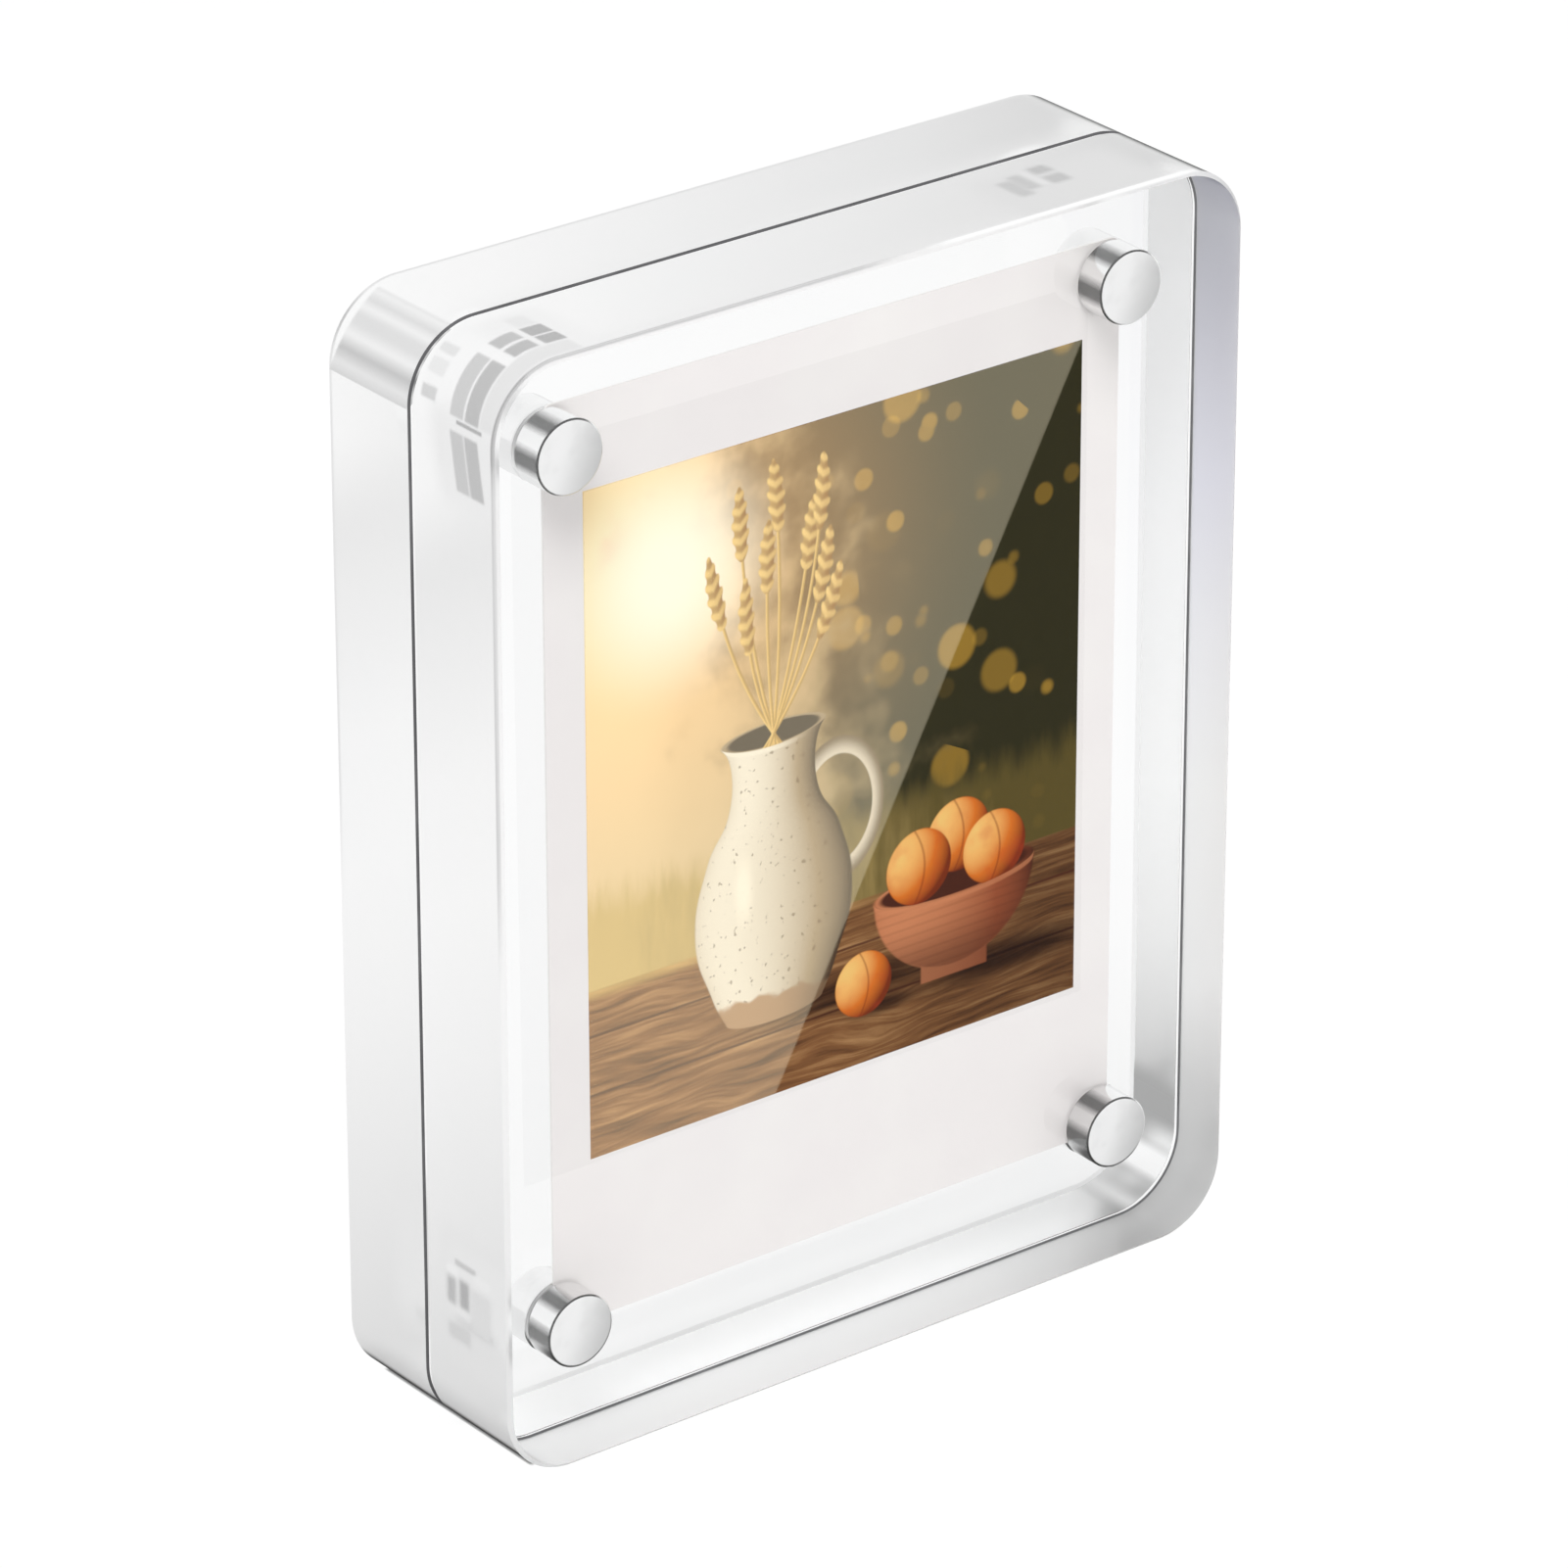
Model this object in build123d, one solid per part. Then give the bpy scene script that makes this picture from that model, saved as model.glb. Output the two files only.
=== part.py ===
from build123d import *
import os

# A magnetic acrylic block frame stands upright on its underside.
# Two clear blocks clamp a bordered print, and pairs of disc magnets near the corners pull them together.
# Sizes are in millimetres. +X is right as seen from the front, +Y goes to the back and +Z is up.
# The origin is the middle of the footprint. Left and right in names are as seen from the front.

# Blocks
BLOCK_WIDTH = 82.0
BLOCK_HEIGHT = 106.0
FRONT_THICKNESS = 12.0
BACK_THICKNESS = 12.0
CORNER_RADIUS = 7.0
EDGE_CHAMFER = 0.4
SEAM_CHAMFER = 0.2

# Disc magnets and the blind pockets that they are pressed into
MAGNET_DIAMETER = 7.0
MAGNET_LENGTH = 6.0
MAGNET_EDGE_CHAMFER = 0.25
MAGNET_INSET_SIDE = 10.2
MAGNET_INSET_END = 11.0
MAGNET_RECESS = 0.1
POCKET_CLEARANCE = 0.05

# Bordered print, a laminate of a border sheet with a window, an image sheet and a backing sheet
PRINT_WIDTH = 63.5
PRINT_HEIGHT = 88.9
PRINT_CORNER_RADIUS = 1.0
BORDER_SIDE = 4.2
BORDER_TOP = 8.85
BORDER_BOTTOM = 15.9
BORDER_SHEET = 0.1
BACKING_SHEET = 0.15
PRINT_CLEARANCE = 0.025
PRINT_SHIFT_RIGHT = 0.5
PRINT_RISE = 1.1

# Layers from front to back, with the middle of the whole depth on the origin
SEAM_GAP = BORDER_SHEET + BACKING_SHEET + 2 * PRINT_CLEARANCE
FRONT_FACE_Y = -(FRONT_THICKNESS + SEAM_GAP + BACK_THICKNESS) / 2
FRONT_SEAM_Y = FRONT_FACE_Y + FRONT_THICKNESS
BACK_SEAM_Y = FRONT_SEAM_Y + SEAM_GAP
BORDER_Y = FRONT_SEAM_Y + PRINT_CLEARANCE
BACKING_Y = BORDER_Y + BORDER_SHEET

# Magnet places, mirrored about the middle of the block
MAGNET_X = BLOCK_WIDTH / 2 - MAGNET_INSET_SIDE
MAGNET_PLACES = {
    "top_left": (-MAGNET_X, BLOCK_HEIGHT - MAGNET_INSET_END),
    "top_right": (MAGNET_X, BLOCK_HEIGHT - MAGNET_INSET_END),
    "bottom_left": (-MAGNET_X, MAGNET_INSET_END),
    "bottom_right": (MAGNET_X, MAGNET_INSET_END),
}

# Print places, with the window off its middle because the lower border is the wide one
PRINT_CENTRE_Z = BLOCK_HEIGHT / 2 + PRINT_RISE
WINDOW_WIDTH = PRINT_WIDTH - 2 * BORDER_SIDE
WINDOW_HEIGHT = PRINT_HEIGHT - BORDER_TOP - BORDER_BOTTOM
WINDOW_CENTRE_Z = PRINT_CENTRE_Z + (BORDER_BOTTOM - BORDER_TOP) / 2


def upright_plane(y, x=0.0, z=0.0):
    """Return a plane that faces the front at depth y, with its centre at x and z."""
    return Plane(origin=(x, y, z), x_dir=(1, 0, 0), z_dir=(0, -1, 0))


def extrude_back(sketch, depth):
    """Extrude an upright sketch towards the back."""
    return extrude(sketch, amount=-depth)


def make_pocket(x, z, seam_y, inward):
    """Return the cutting cylinder of one magnet pocket.

    The pocket starts at the mating face at seam_y. inward is -1 for the front block and 1 for the back one.
    """
    depth = MAGNET_RECESS + MAGNET_LENGTH + POCKET_CLEARANCE
    circle = upright_plane(seam_y, x, z) * Circle(MAGNET_DIAMETER / 2 + POCKET_CLEARANCE)
    return extrude_back(circle, inward * depth)


def rim_at(block, y):
    """Return the edges round the flat face at depth y."""
    return min(block.faces(), key=lambda face: abs(face.center().Y - y)).edges()


def make_block(thickness, seam_y, inward):
    """Return one clear block with rounded corners, chamfered edges and four magnet pockets.

    The mating face is at seam_y. inward is -1 for the front block and 1 for the back one.
    """
    outer_y = seam_y + inward * thickness
    outline = RectangleRounded(BLOCK_WIDTH, BLOCK_HEIGHT, CORNER_RADIUS)
    block = extrude_back(upright_plane(min(seam_y, outer_y), z=BLOCK_HEIGHT / 2) * outline, thickness)
    block = chamfer(rim_at(block, outer_y), EDGE_CHAMFER)
    block = chamfer(rim_at(block, seam_y), SEAM_CHAMFER)
    for x, z in MAGNET_PLACES.values():
        block -= make_pocket(x, z, seam_y, inward)
    return block


def make_magnet(x, z, seam_y, inward):
    """Return one disc magnet with chamfered edges, just under the mating face at seam_y."""
    near_y = seam_y + inward * MAGNET_RECESS
    circle = upright_plane(near_y, x, z) * Circle(MAGNET_DIAMETER / 2)
    disc = extrude_back(circle, inward * MAGNET_LENGTH)
    rims = disc.edges().filter_by(GeomType.CIRCLE)
    return chamfer(rims, MAGNET_EDGE_CHAMFER)


def make_print_outline(y):
    """Return the sheet outline of the print on an upright plane."""
    plane = upright_plane(y, PRINT_SHIFT_RIGHT, PRINT_CENTRE_Z)
    return plane * RectangleRounded(PRINT_WIDTH, PRINT_HEIGHT, PRINT_CORNER_RADIUS)


def make_image():
    """Return the image sheet, which fills the window of the border sheet."""
    plane = upright_plane(BORDER_Y, PRINT_SHIFT_RIGHT, WINDOW_CENTRE_Z)
    return extrude_back(plane * Rectangle(WINDOW_WIDTH, WINDOW_HEIGHT), BORDER_SHEET)


def make_border():
    """Return the border sheet with its window cut out."""
    return extrude_back(make_print_outline(BORDER_Y), BORDER_SHEET) - make_image()


def make_backing():
    """Return the backing sheet behind the border and the image."""
    return extrude_back(make_print_outline(BACKING_Y), BACKING_SHEET)


def make_nodes():
    """Return every piece of the frame by its node name."""
    nodes = {
        "front_block": make_block(FRONT_THICKNESS, FRONT_SEAM_Y, -1),
        "back_block": make_block(BACK_THICKNESS, BACK_SEAM_Y, 1),
        "print_border": make_border(),
        "print_image": make_image(),
        "print_backing": make_backing(),
    }
    for place, (x, z) in MAGNET_PLACES.items():
        nodes[f"front_magnet_{place}"] = make_magnet(x, z, FRONT_SEAM_Y, -1)
        nodes[f"back_magnet_{place}"] = make_magnet(x, z, BACK_SEAM_Y, 1)
    return nodes


os.makedirs("parts", exist_ok=True)
for node, shape in make_nodes().items():
    export_step(shape, f"parts/{node}.step")
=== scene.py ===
"""Dress the acrylic block frame: clear blocks, nickel magnets and a bordered print, in a white studio."""

import logging
import math
from dataclasses import dataclass, field
from enum import Enum, IntEnum
from functools import partial, reduce
from typing import Any, Mapping, Optional, Sequence, Union

import bmesh
import bpy
from bmesh.types import BMesh, BMVert
from bpy.types import Material, Mesh, Node, NodeSocket, NodeTree, Object
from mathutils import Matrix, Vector


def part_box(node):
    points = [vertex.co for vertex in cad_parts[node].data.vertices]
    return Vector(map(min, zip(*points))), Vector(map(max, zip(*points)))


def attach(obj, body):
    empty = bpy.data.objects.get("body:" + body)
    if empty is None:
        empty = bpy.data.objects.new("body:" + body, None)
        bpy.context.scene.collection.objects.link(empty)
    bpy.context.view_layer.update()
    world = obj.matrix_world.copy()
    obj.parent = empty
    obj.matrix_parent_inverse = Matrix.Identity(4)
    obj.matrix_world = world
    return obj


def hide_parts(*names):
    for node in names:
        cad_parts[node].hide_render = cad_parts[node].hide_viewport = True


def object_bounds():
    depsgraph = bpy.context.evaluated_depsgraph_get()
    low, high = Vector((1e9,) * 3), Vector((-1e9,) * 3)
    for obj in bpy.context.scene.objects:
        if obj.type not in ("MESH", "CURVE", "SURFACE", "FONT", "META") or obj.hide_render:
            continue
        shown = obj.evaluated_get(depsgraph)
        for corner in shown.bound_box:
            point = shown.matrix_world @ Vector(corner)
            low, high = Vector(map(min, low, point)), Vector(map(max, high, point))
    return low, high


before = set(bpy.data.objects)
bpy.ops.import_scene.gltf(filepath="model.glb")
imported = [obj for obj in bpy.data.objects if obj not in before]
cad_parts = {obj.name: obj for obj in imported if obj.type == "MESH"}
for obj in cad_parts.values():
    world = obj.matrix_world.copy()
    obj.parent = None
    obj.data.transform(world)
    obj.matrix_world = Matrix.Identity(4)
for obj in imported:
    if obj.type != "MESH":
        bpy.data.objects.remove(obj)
CAD_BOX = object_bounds()

LOG = logging.getLogger("block_frame")
MM = 0.001
QUARTER_TURN = math.pi / 2
FULL_TURN = 2.0 * math.pi
ACRYLIC_IOR = 1.49
GUIDED_SLANT = 1.0 - math.sqrt(1.0 - 1.0 / ACRYLIC_IOR ** 2)
ANY_BOUNCE = 0.5
FLAT_WEIGHT = 100
# Numbers of the mix node's sockets for colours
FIRST_COLOUR, SECOND_COLOUR, MIXED_COLOUR = 6, 7, 2

Box = tuple[Vector, Vector]
Span = tuple[float, float]
Colour = tuple[float, float, float, float]
Stops = Sequence[tuple[float, Colour]]
Source = Union[float, Sequence[float], Enum, NodeSocket, "Value"]
Sockets = Mapping[str, NodeSocket]
Values = Mapping[str, "Value"]


def tone(red: float, green: float, blue: float) -> Colour:
    """Turn a colour as it looks on a screen into a linear one.

    Args:
        red: Red from 0 to 255.
        green: Green from 0 to 255.
        blue: Blue from 0 to 255.

    Returns:
        The linear colour with an alpha of 1.
    """
    def linear(level: float) -> float:
        """Return the linear value of one channel, by the curve that screens use."""
        share = level / 255
        return share / 12.92 if share <= 0.04045 else ((share + 0.055) / 1.055) ** 2.4

    return linear(red), linear(green), linear(blue), 1.0


def grey(level: float) -> Colour:
    """Return a linear grey."""
    return level, level, level, 1.0


def screen(level: float) -> Colour:
    """Return the linear grey that looks like a level from 0 to 255 on a screen."""
    return tone(level, level, level)


def greys(*stops: Span) -> tuple[tuple[float, Colour], ...]:
    """Return the stops of a ramp from places and the levels that they have on a screen."""
    return tuple((place, screen(level)) for place, level in stops)


class Blend(Enum):
    """Ways to lay one colour over another."""

    MIX = "MIX"
    ADD = "ADD"
    MULTIPLY = "MULTIPLY"
    DARKEN = "DARKEN"


class Ray(Enum):
    """Facts of a ray, by their names in the light path."""

    CAMERA = "Is Camera Ray"
    SHADOW = "Is Shadow Ray"
    DIFFUSE = "Is Diffuse Ray"
    GLOSSY = "Is Glossy Ray"
    TRANSMISSION = "Is Transmission Ray"
    TURNS = "Glossy Depth"
    ENTRIES = "Transmission Depth"


class Value:
    """An output in a node tree. Arithmetic on it adds math nodes and returns their outputs."""

    def __init__(self, graph: "Graph", socket: NodeSocket) -> None:
        """Keep the output and the graph that it lies in."""
        self.graph = graph
        self.socket = socket

    def __add__(self, other: Source) -> "Value":
        """Return the sum."""
        return self.graph.math("ADD", self, other)

    def __sub__(self, other: Source) -> "Value":
        """Return the difference."""
        return self.graph.math("SUBTRACT", self, other)

    def __rsub__(self, other: float) -> "Value":
        """Return the difference of a number and the value."""
        return self.graph.math("SUBTRACT", other, self)

    def __mul__(self, other: Source) -> "Value":
        """Return the product."""
        return self.graph.math("MULTIPLY", self, other)

    def __truediv__(self, other: Source) -> "Value":
        """Return the quotient."""
        return self.graph.math("DIVIDE", self, other)

    def __abs__(self) -> "Value":
        """Return the value without its sign."""
        return self.graph.math("ABSOLUTE", self)

    def __gt__(self, other: Source) -> "Value":
        """Return 1 where the value is greater, and 0 elsewhere."""
        return self.graph.math("GREATER_THAN", self, other)

    def __lt__(self, other: Source) -> "Value":
        """Return 1 where the value is less, and 0 elsewhere."""
        return self.graph.math("LESS_THAN", self, other)

    def eased(self, start: Source, end: Source, low: float = 0.0, high: float = 1.0,
              kind: str = "SMOOTHSTEP") -> "Value":
        """Return the value carried from one range to another, clamped, easing in and out."""
        inputs = {"Value": self, "From Min": start, "From Max": end, "To Min": low, "To Max": high}
        return self.graph.value("ShaderNodeMapRange", inputs, interpolation_type=kind)

    def evenly(self, start: Source, end: Source, low: float = 0.0, high: float = 1.0) -> "Value":
        """Return the value carried from one range to another, clamped, at an even rate."""
        return self.eased(start, end, low, high, "LINEAR")

    def under(self, limit: Source, soft: float) -> "Value":
        """Return 1 where the value is under a limit and 0 elsewhere, with a soft edge."""
        return (self - limit).eased(soft, -soft)

    def near(self, middle: float, half: float, soft: float) -> "Value":
        """Return 1 where the value is close to a middle and 0 elsewhere, with soft edges."""
        return abs(self - middle).under(half, soft)


class Graph:
    """Writes nodes and links into one node tree."""

    def __init__(self, tree: NodeTree) -> None:
        """Keep the tree that the nodes go into."""
        self.tree = tree

    def feed(self, socket: NodeSocket, source: Source) -> None:
        """Link a socket, or set its value.

        Args:
            socket: The input to feed.
            source: The output to link, or the number or colour to set.
        """
        if isinstance(source, Value):
            source = source.socket
        if isinstance(source, NodeSocket):
            self.tree.links.new(source, socket)
        else:
            socket.default_value = source.value if isinstance(source, Enum) else source

    def node(self, kind: str, inputs: Optional[dict] = None, **settings: Any) -> Node:
        """Add one node.

        Args:
            kind: The node's type name.
            inputs: What to feed, by the name or number of the input.
            settings: The node's own attributes, such as its operation.

        Returns:
            The new node.
        """
        made = self.tree.nodes.new(kind)
        for name, value in settings.items():
            setattr(made, name, value)
        for key, source in (inputs or {}).items():
            self.feed(made.inputs[key], source)
        return made

    def value(self, kind: str, inputs: Optional[dict] = None, output: Union[int, str] = 0,
              **settings: Any) -> Value:
        """Add one node and return one of its outputs."""
        return Value(self, self.node(kind, inputs, **settings).outputs[output])

    def values(self, node: Node) -> Values:
        """Return the outputs of a node by their names."""
        return {socket.name: Value(self, socket) for socket in node.outputs}

    def math(self, operation: str, *values: Source, clamp: bool = False) -> Value:
        """Return the result of a math node on these values."""
        return self.value("ShaderNodeMath", dict(enumerate(values)), operation=operation, use_clamp=clamp)

    def largest(self, *values: Source) -> Value:
        """Return the largest of several values."""
        return reduce(partial(self.math, "MAXIMUM"), values)

    def length(self, across: Value, up: Value) -> Value:
        """Return the length of a step from its parts."""
        return self.math("SQRT", across * across + up * up)

    def mix(self, factor: Source, first: Source, second: Source, blend: Blend = Blend.MIX) -> Value:
        """Return a mix of two colours."""
        inputs = {0: factor, FIRST_COLOUR: first, SECOND_COLOUR: second}
        return self.value("ShaderNodeMix", inputs, MIXED_COLOUR, data_type="RGBA", blend_type=blend.value)

    def even(self, value: Source) -> Value:
        """Return a grey with a value in each of its channels."""
        return self.value("ShaderNodeCombineColor", {0: value, 1: value, 2: value})

    def noise(self, place: Source, scale: Source, detail: float = 2.0, rough: float = 0.5) -> Value:
        """Return a noise value from 0 to 1."""
        inputs = {"Vector": place, "Scale": scale, "Detail": detail, "Roughness": rough}
        return self.value("ShaderNodeTexNoise", inputs)

    def stretched(self, place: Source, scale: Sequence[float]) -> Value:
        """Return a place that is scaled by its own amount along each axis."""
        return self.value("ShaderNodeMapping", {"Vector": place, "Scale": scale})

    def split(self, kind: str = "Object") -> Values:
        """Return X, Y and Z of one kind of texture coordinates."""
        place = self.value("ShaderNodeTexCoord", output=kind)
        return self.values(self.node("ShaderNodeSeparateXYZ", {0: place}))

    def ramp(self, factor: Source, stops: Stops) -> Value:
        """Return a colour from a list of stops.

        Args:
            factor: The place along the ramp, from 0 to 1.
            stops: Places and colours, in order.

        Returns:
            The colour at the factor.
        """
        made = self.node("ShaderNodeValToRGB", {0: factor})
        elements = made.color_ramp.elements
        while len(elements) < len(stops):
            elements.new(1.0)
        for element, (place, colour) in zip(elements, stops):
            element.position = place
            element.color = colour
        return Value(self, made.outputs[0])

    def curve(self, value: Source, points: Sequence[Span]) -> Value:
        """Return a value from a smooth curve.

        Args:
            value: The place along the curve, from 0 to 1.
            points: A few points that the curve goes through, in order.

        Returns:
            The height of the curve at the place.
        """
        made = self.node("ShaderNodeFloatCurve", {"Value": value})
        line = made.mapping.curves[0].points
        while len(line) < len(points):
            line.new(0.5, 0.5)
        for knot, place in zip(line, points):
            knot.location = place
        made.mapping.update()
        return Value(self, made.outputs[0])

    def relief(self, height: Source, strength: float, depth: float) -> Value:
        """Return the normal of a surface with a fine relief."""
        return self.value("ShaderNodeBump", {"Height": height, "Strength": strength, "Distance": depth})

    def ray(self, fact: Ray) -> Value:
        """Return a fact of the ray."""
        return self.value("ShaderNodeLightPath", output=fact.value)

    def turned(self) -> Value:
        """Return 1 for rays that a face has turned back."""
        return self.ray(Ray.TURNS) > ANY_BOUNCE

    def entered(self) -> Value:
        """Return 1 for rays that have come into the acrylic."""
        return self.ray(Ray.ENTRIES) > ANY_BOUNCE

    def slant(self) -> Value:
        """Return how slanted a ray meets the surface, from 0 for a square one to 1 for one along it."""
        return self.value("ShaderNodeLayerWeight", {"Blend": 0.5}, "Facing")

    def glow(self, colour: Source, strength: float = 1.0) -> Node:
        """Return a shader that glows by itself."""
        return self.node("ShaderNodeEmission", {"Color": colour, "Strength": strength})

    def matt(self, level: float) -> Node:
        """Return a matt grey shader."""
        return self.node("ShaderNodeBsdfDiffuse", {"Color": grey(level)})

    def clear(self, tint: Colour = grey(1.0)) -> Node:
        """Return a shader that rays go straight through."""
        return self.node("ShaderNodeBsdfTransparent", {"Color": tint})

    def both(self, first: Node, second: Node) -> Node:
        """Return the sum of two shaders."""
        return self.node("ShaderNodeAddShader", {0: first.outputs[0], 1: second.outputs[0]})

    def choose(self, factor: Source, first: Node, second: Node) -> Node:
        """Return the first of two shaders where a factor is 0, and the second where it is 1."""
        return self.node("ShaderNodeMixShader", {0: factor, 1: first.outputs[0], 2: second.outputs[0]})

    def show(self, out: Node, shader: Node) -> None:
        """Make a shader the surface of the whole."""
        self.feed(out.inputs["Surface"], shader.outputs[0])


def new_material(name: str) -> tuple[Material, Graph, Node]:
    """Make a material with no nodes but its output.

    Args:
        name: The material's name.

    Returns:
        The material, a graph that writes into it and its output node.
    """
    material = bpy.data.materials.new(name)
    material.use_nodes = True
    material.node_tree.nodes.clear()
    graph = Graph(material.node_tree)
    return material, graph, graph.node("ShaderNodeOutputMaterial")


def new_group(name: str, inputs: dict[str, float], outputs: Sequence[str]) -> tuple[Graph, Sockets, Sockets]:
    """Make an empty shader node group.

    Args:
        name: The group's name.
        inputs: Its number inputs and their defaults. A Vector input is always added.
        outputs: The names of its number outputs.

    Returns:
        A graph that writes into the group, what it is given and the sockets of its results.
    """
    tree = bpy.data.node_groups.new(name, "ShaderNodeTree")
    tree.interface.new_socket("Vector", in_out="INPUT", socket_type="NodeSocketVector")
    for label, value in inputs.items():
        socket = tree.interface.new_socket(label, in_out="INPUT", socket_type="NodeSocketFloat")
        socket.default_value = value
    for label in outputs:
        tree.interface.new_socket(label, in_out="OUTPUT", socket_type="NodeSocketFloat")
    graph = Graph(tree)
    return graph, graph.node("NodeGroupInput").outputs, graph.node("NodeGroupOutput").inputs


class Effects:
    """Shader node groups that several finishes share."""

    smudge_span: Span = (0.42, 0.72)
    hairline_span: Span = (0.66, 0.74)
    hairline_stretch: tuple[float, float, float] = (1.0, 0.12, 0.12)
    strand_stretch: tuple[float, float, float] = (1.0, 1.0, 0.3)

    def __init__(self) -> None:
        """Build each group once."""
        self.wear = self.handling_marks()
        self.fibre = self.paper_fibre()

    def handling_marks(self) -> NodeTree:
        """Build the soft smudges and fine hairlines of a polished surface.

        Returns:
            The group, whose outputs are a smudge mask and a hairline mask.
        """
        graph, given, out = new_group("handling_marks", {"Smudge Scale": 60.0, "Hairline Scale": 900.0},
                                      ("Smudge", "Hairline"))
        cloud = graph.noise(given["Vector"], given["Smudge Scale"], detail=3.0, rough=0.6)
        graph.feed(out["Smudge"], cloud.eased(*self.smudge_span))
        sliver = graph.stretched(given["Vector"], self.hairline_stretch)
        line = graph.noise(sliver, given["Hairline Scale"], detail=1.0)
        graph.feed(out["Hairline"], line.eased(*self.hairline_span))
        return graph.tree

    def paper_fibre(self) -> NodeTree:
        """Build the fibres and the cloudy tone of a paper sheet.

        Returns:
            The group, whose outputs are a fibre height and a cloud mask.
        """
        graph, given, out = new_group("paper_fibre", {"Fibre Scale": 2600.0, "Cloud Scale": 90.0},
                                      ("Fibre", "Cloud"))
        strand = graph.stretched(given["Vector"], self.strand_stretch)
        graph.feed(out["Fibre"], graph.noise(strand, given["Fibre Scale"], detail=4.0, rough=0.65))
        graph.feed(out["Cloud"], graph.noise(given["Vector"], given["Cloud Scale"], detail=3.0))
        return graph.tree

    @staticmethod
    def place(graph: Graph, group: NodeTree, values: dict[str, float]) -> Values:
        """Place a group in a material.

        Args:
            graph: The material's graph.
            group: The group to place.
            values: The group's number inputs.

        Returns:
            The outputs of the group, which is fed by object coordinates.
        """
        made = graph.node("ShaderNodeGroup", node_tree=group)
        place = graph.value("ShaderNodeTexCoord", output="Object")
        for label, source in {"Vector": place, **values}.items():
            graph.feed(made.inputs[label], source)
        return graph.values(made)

    def marks(self, graph: Graph, smudge_scale: float, hairline_scale: float) -> Values:
        """Place the handling marks in a material."""
        return self.place(graph, self.wear, {"Smudge Scale": smudge_scale, "Hairline Scale": hairline_scale})

    def paper(self, graph: Graph, fibre_scale: float, cloud_scale: float) -> Values:
        """Place the fibres and clouds of paper in a material."""
        return self.place(graph, self.fibre, {"Fibre Scale": fibre_scale, "Cloud Scale": cloud_scale})


@dataclass(frozen=True)
class AcrylicFinish:
    """Polished acrylic, which is clear on the faces and a little hazy on the cut sides."""

    name: str = "clear_acrylic"
    clarity: float = 1.0
    body_tint: Colour = (0.997, 0.998, 0.998, 1.0)
    smudge_tint: Colour = (0.988, 0.992, 0.993, 1.0)
    refraction: float = ACRYLIC_IOR
    shade_tint: Colour = (0.985, 0.987, 0.987, 1.0)
    roughness: float = 0.0
    grazing_tint: Optional[Colour] = None
    grazing_span: Span = (0.77, 0.9)
    frees_turned: bool = True
    smudge_scale: float = 70.0
    hairline_scale: float = 1200.0

    def material(self, effects: Effects) -> Material:
        """Build the material.

        Rays that light the print go straight through, and so do rays that a face has turned back once,
        because a block guides light through more turns than a render follows.

        Args:
            effects: The shared shader groups.

        Returns:
            The material.
        """
        material, graph, out = new_material(self.name)
        marks = effects.marks(graph, self.smudge_scale, self.hairline_scale)
        colour = graph.mix(marks["Smudge"], self.body_tint, self.smudge_tint)
        if self.grazing_tint:
            colour = graph.mix(graph.slant().eased(*self.grazing_span), colour, self.grazing_tint)
        glass = graph.node("ShaderNodeBsdfPrincipled", {
            "Base Color": colour, "Roughness": self.roughness, "IOR": self.refraction,
            "Transmission Weight": self.clarity})
        straight = graph.largest(graph.ray(Ray.SHADOW), graph.ray(Ray.DIFFUSE))
        if self.frees_turned:
            straight = graph.largest(straight, graph.turned())
        graph.show(out, graph.choose(straight, glass, graph.clear(self.shade_tint)))
        return material


@dataclass(frozen=True)
class SeamShadeFinish:
    """The fine chamfer round a mating face, given a painted dark grey shade, which reads as the dark line of
    the seam.
    """

    name: str = "seam_shade_edge"
    # Painted shade: both greys stand for the dark line of the seam, and the smudges mix them
    cut: Colour = tone(84, 84, 86)
    polished: Colour = tone(104, 104, 106)
    roughness: float = 0.55
    smudge_scale: float = 160.0
    hairline_scale: float = 2400.0

    def material(self, effects: Effects) -> Material:
        """Build the material.

        Args:
            effects: The shared shader groups.

        Returns:
            The material.
        """
        material, graph, out = new_material(self.name)
        marks = effects.marks(graph, self.smudge_scale, self.hairline_scale)
        colour = graph.mix(marks["Smudge"], self.cut, self.polished)
        graph.show(out, graph.node("ShaderNodeBsdfPrincipled", {
            "Base Color": colour, "Roughness": self.roughness}))
        return material


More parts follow.
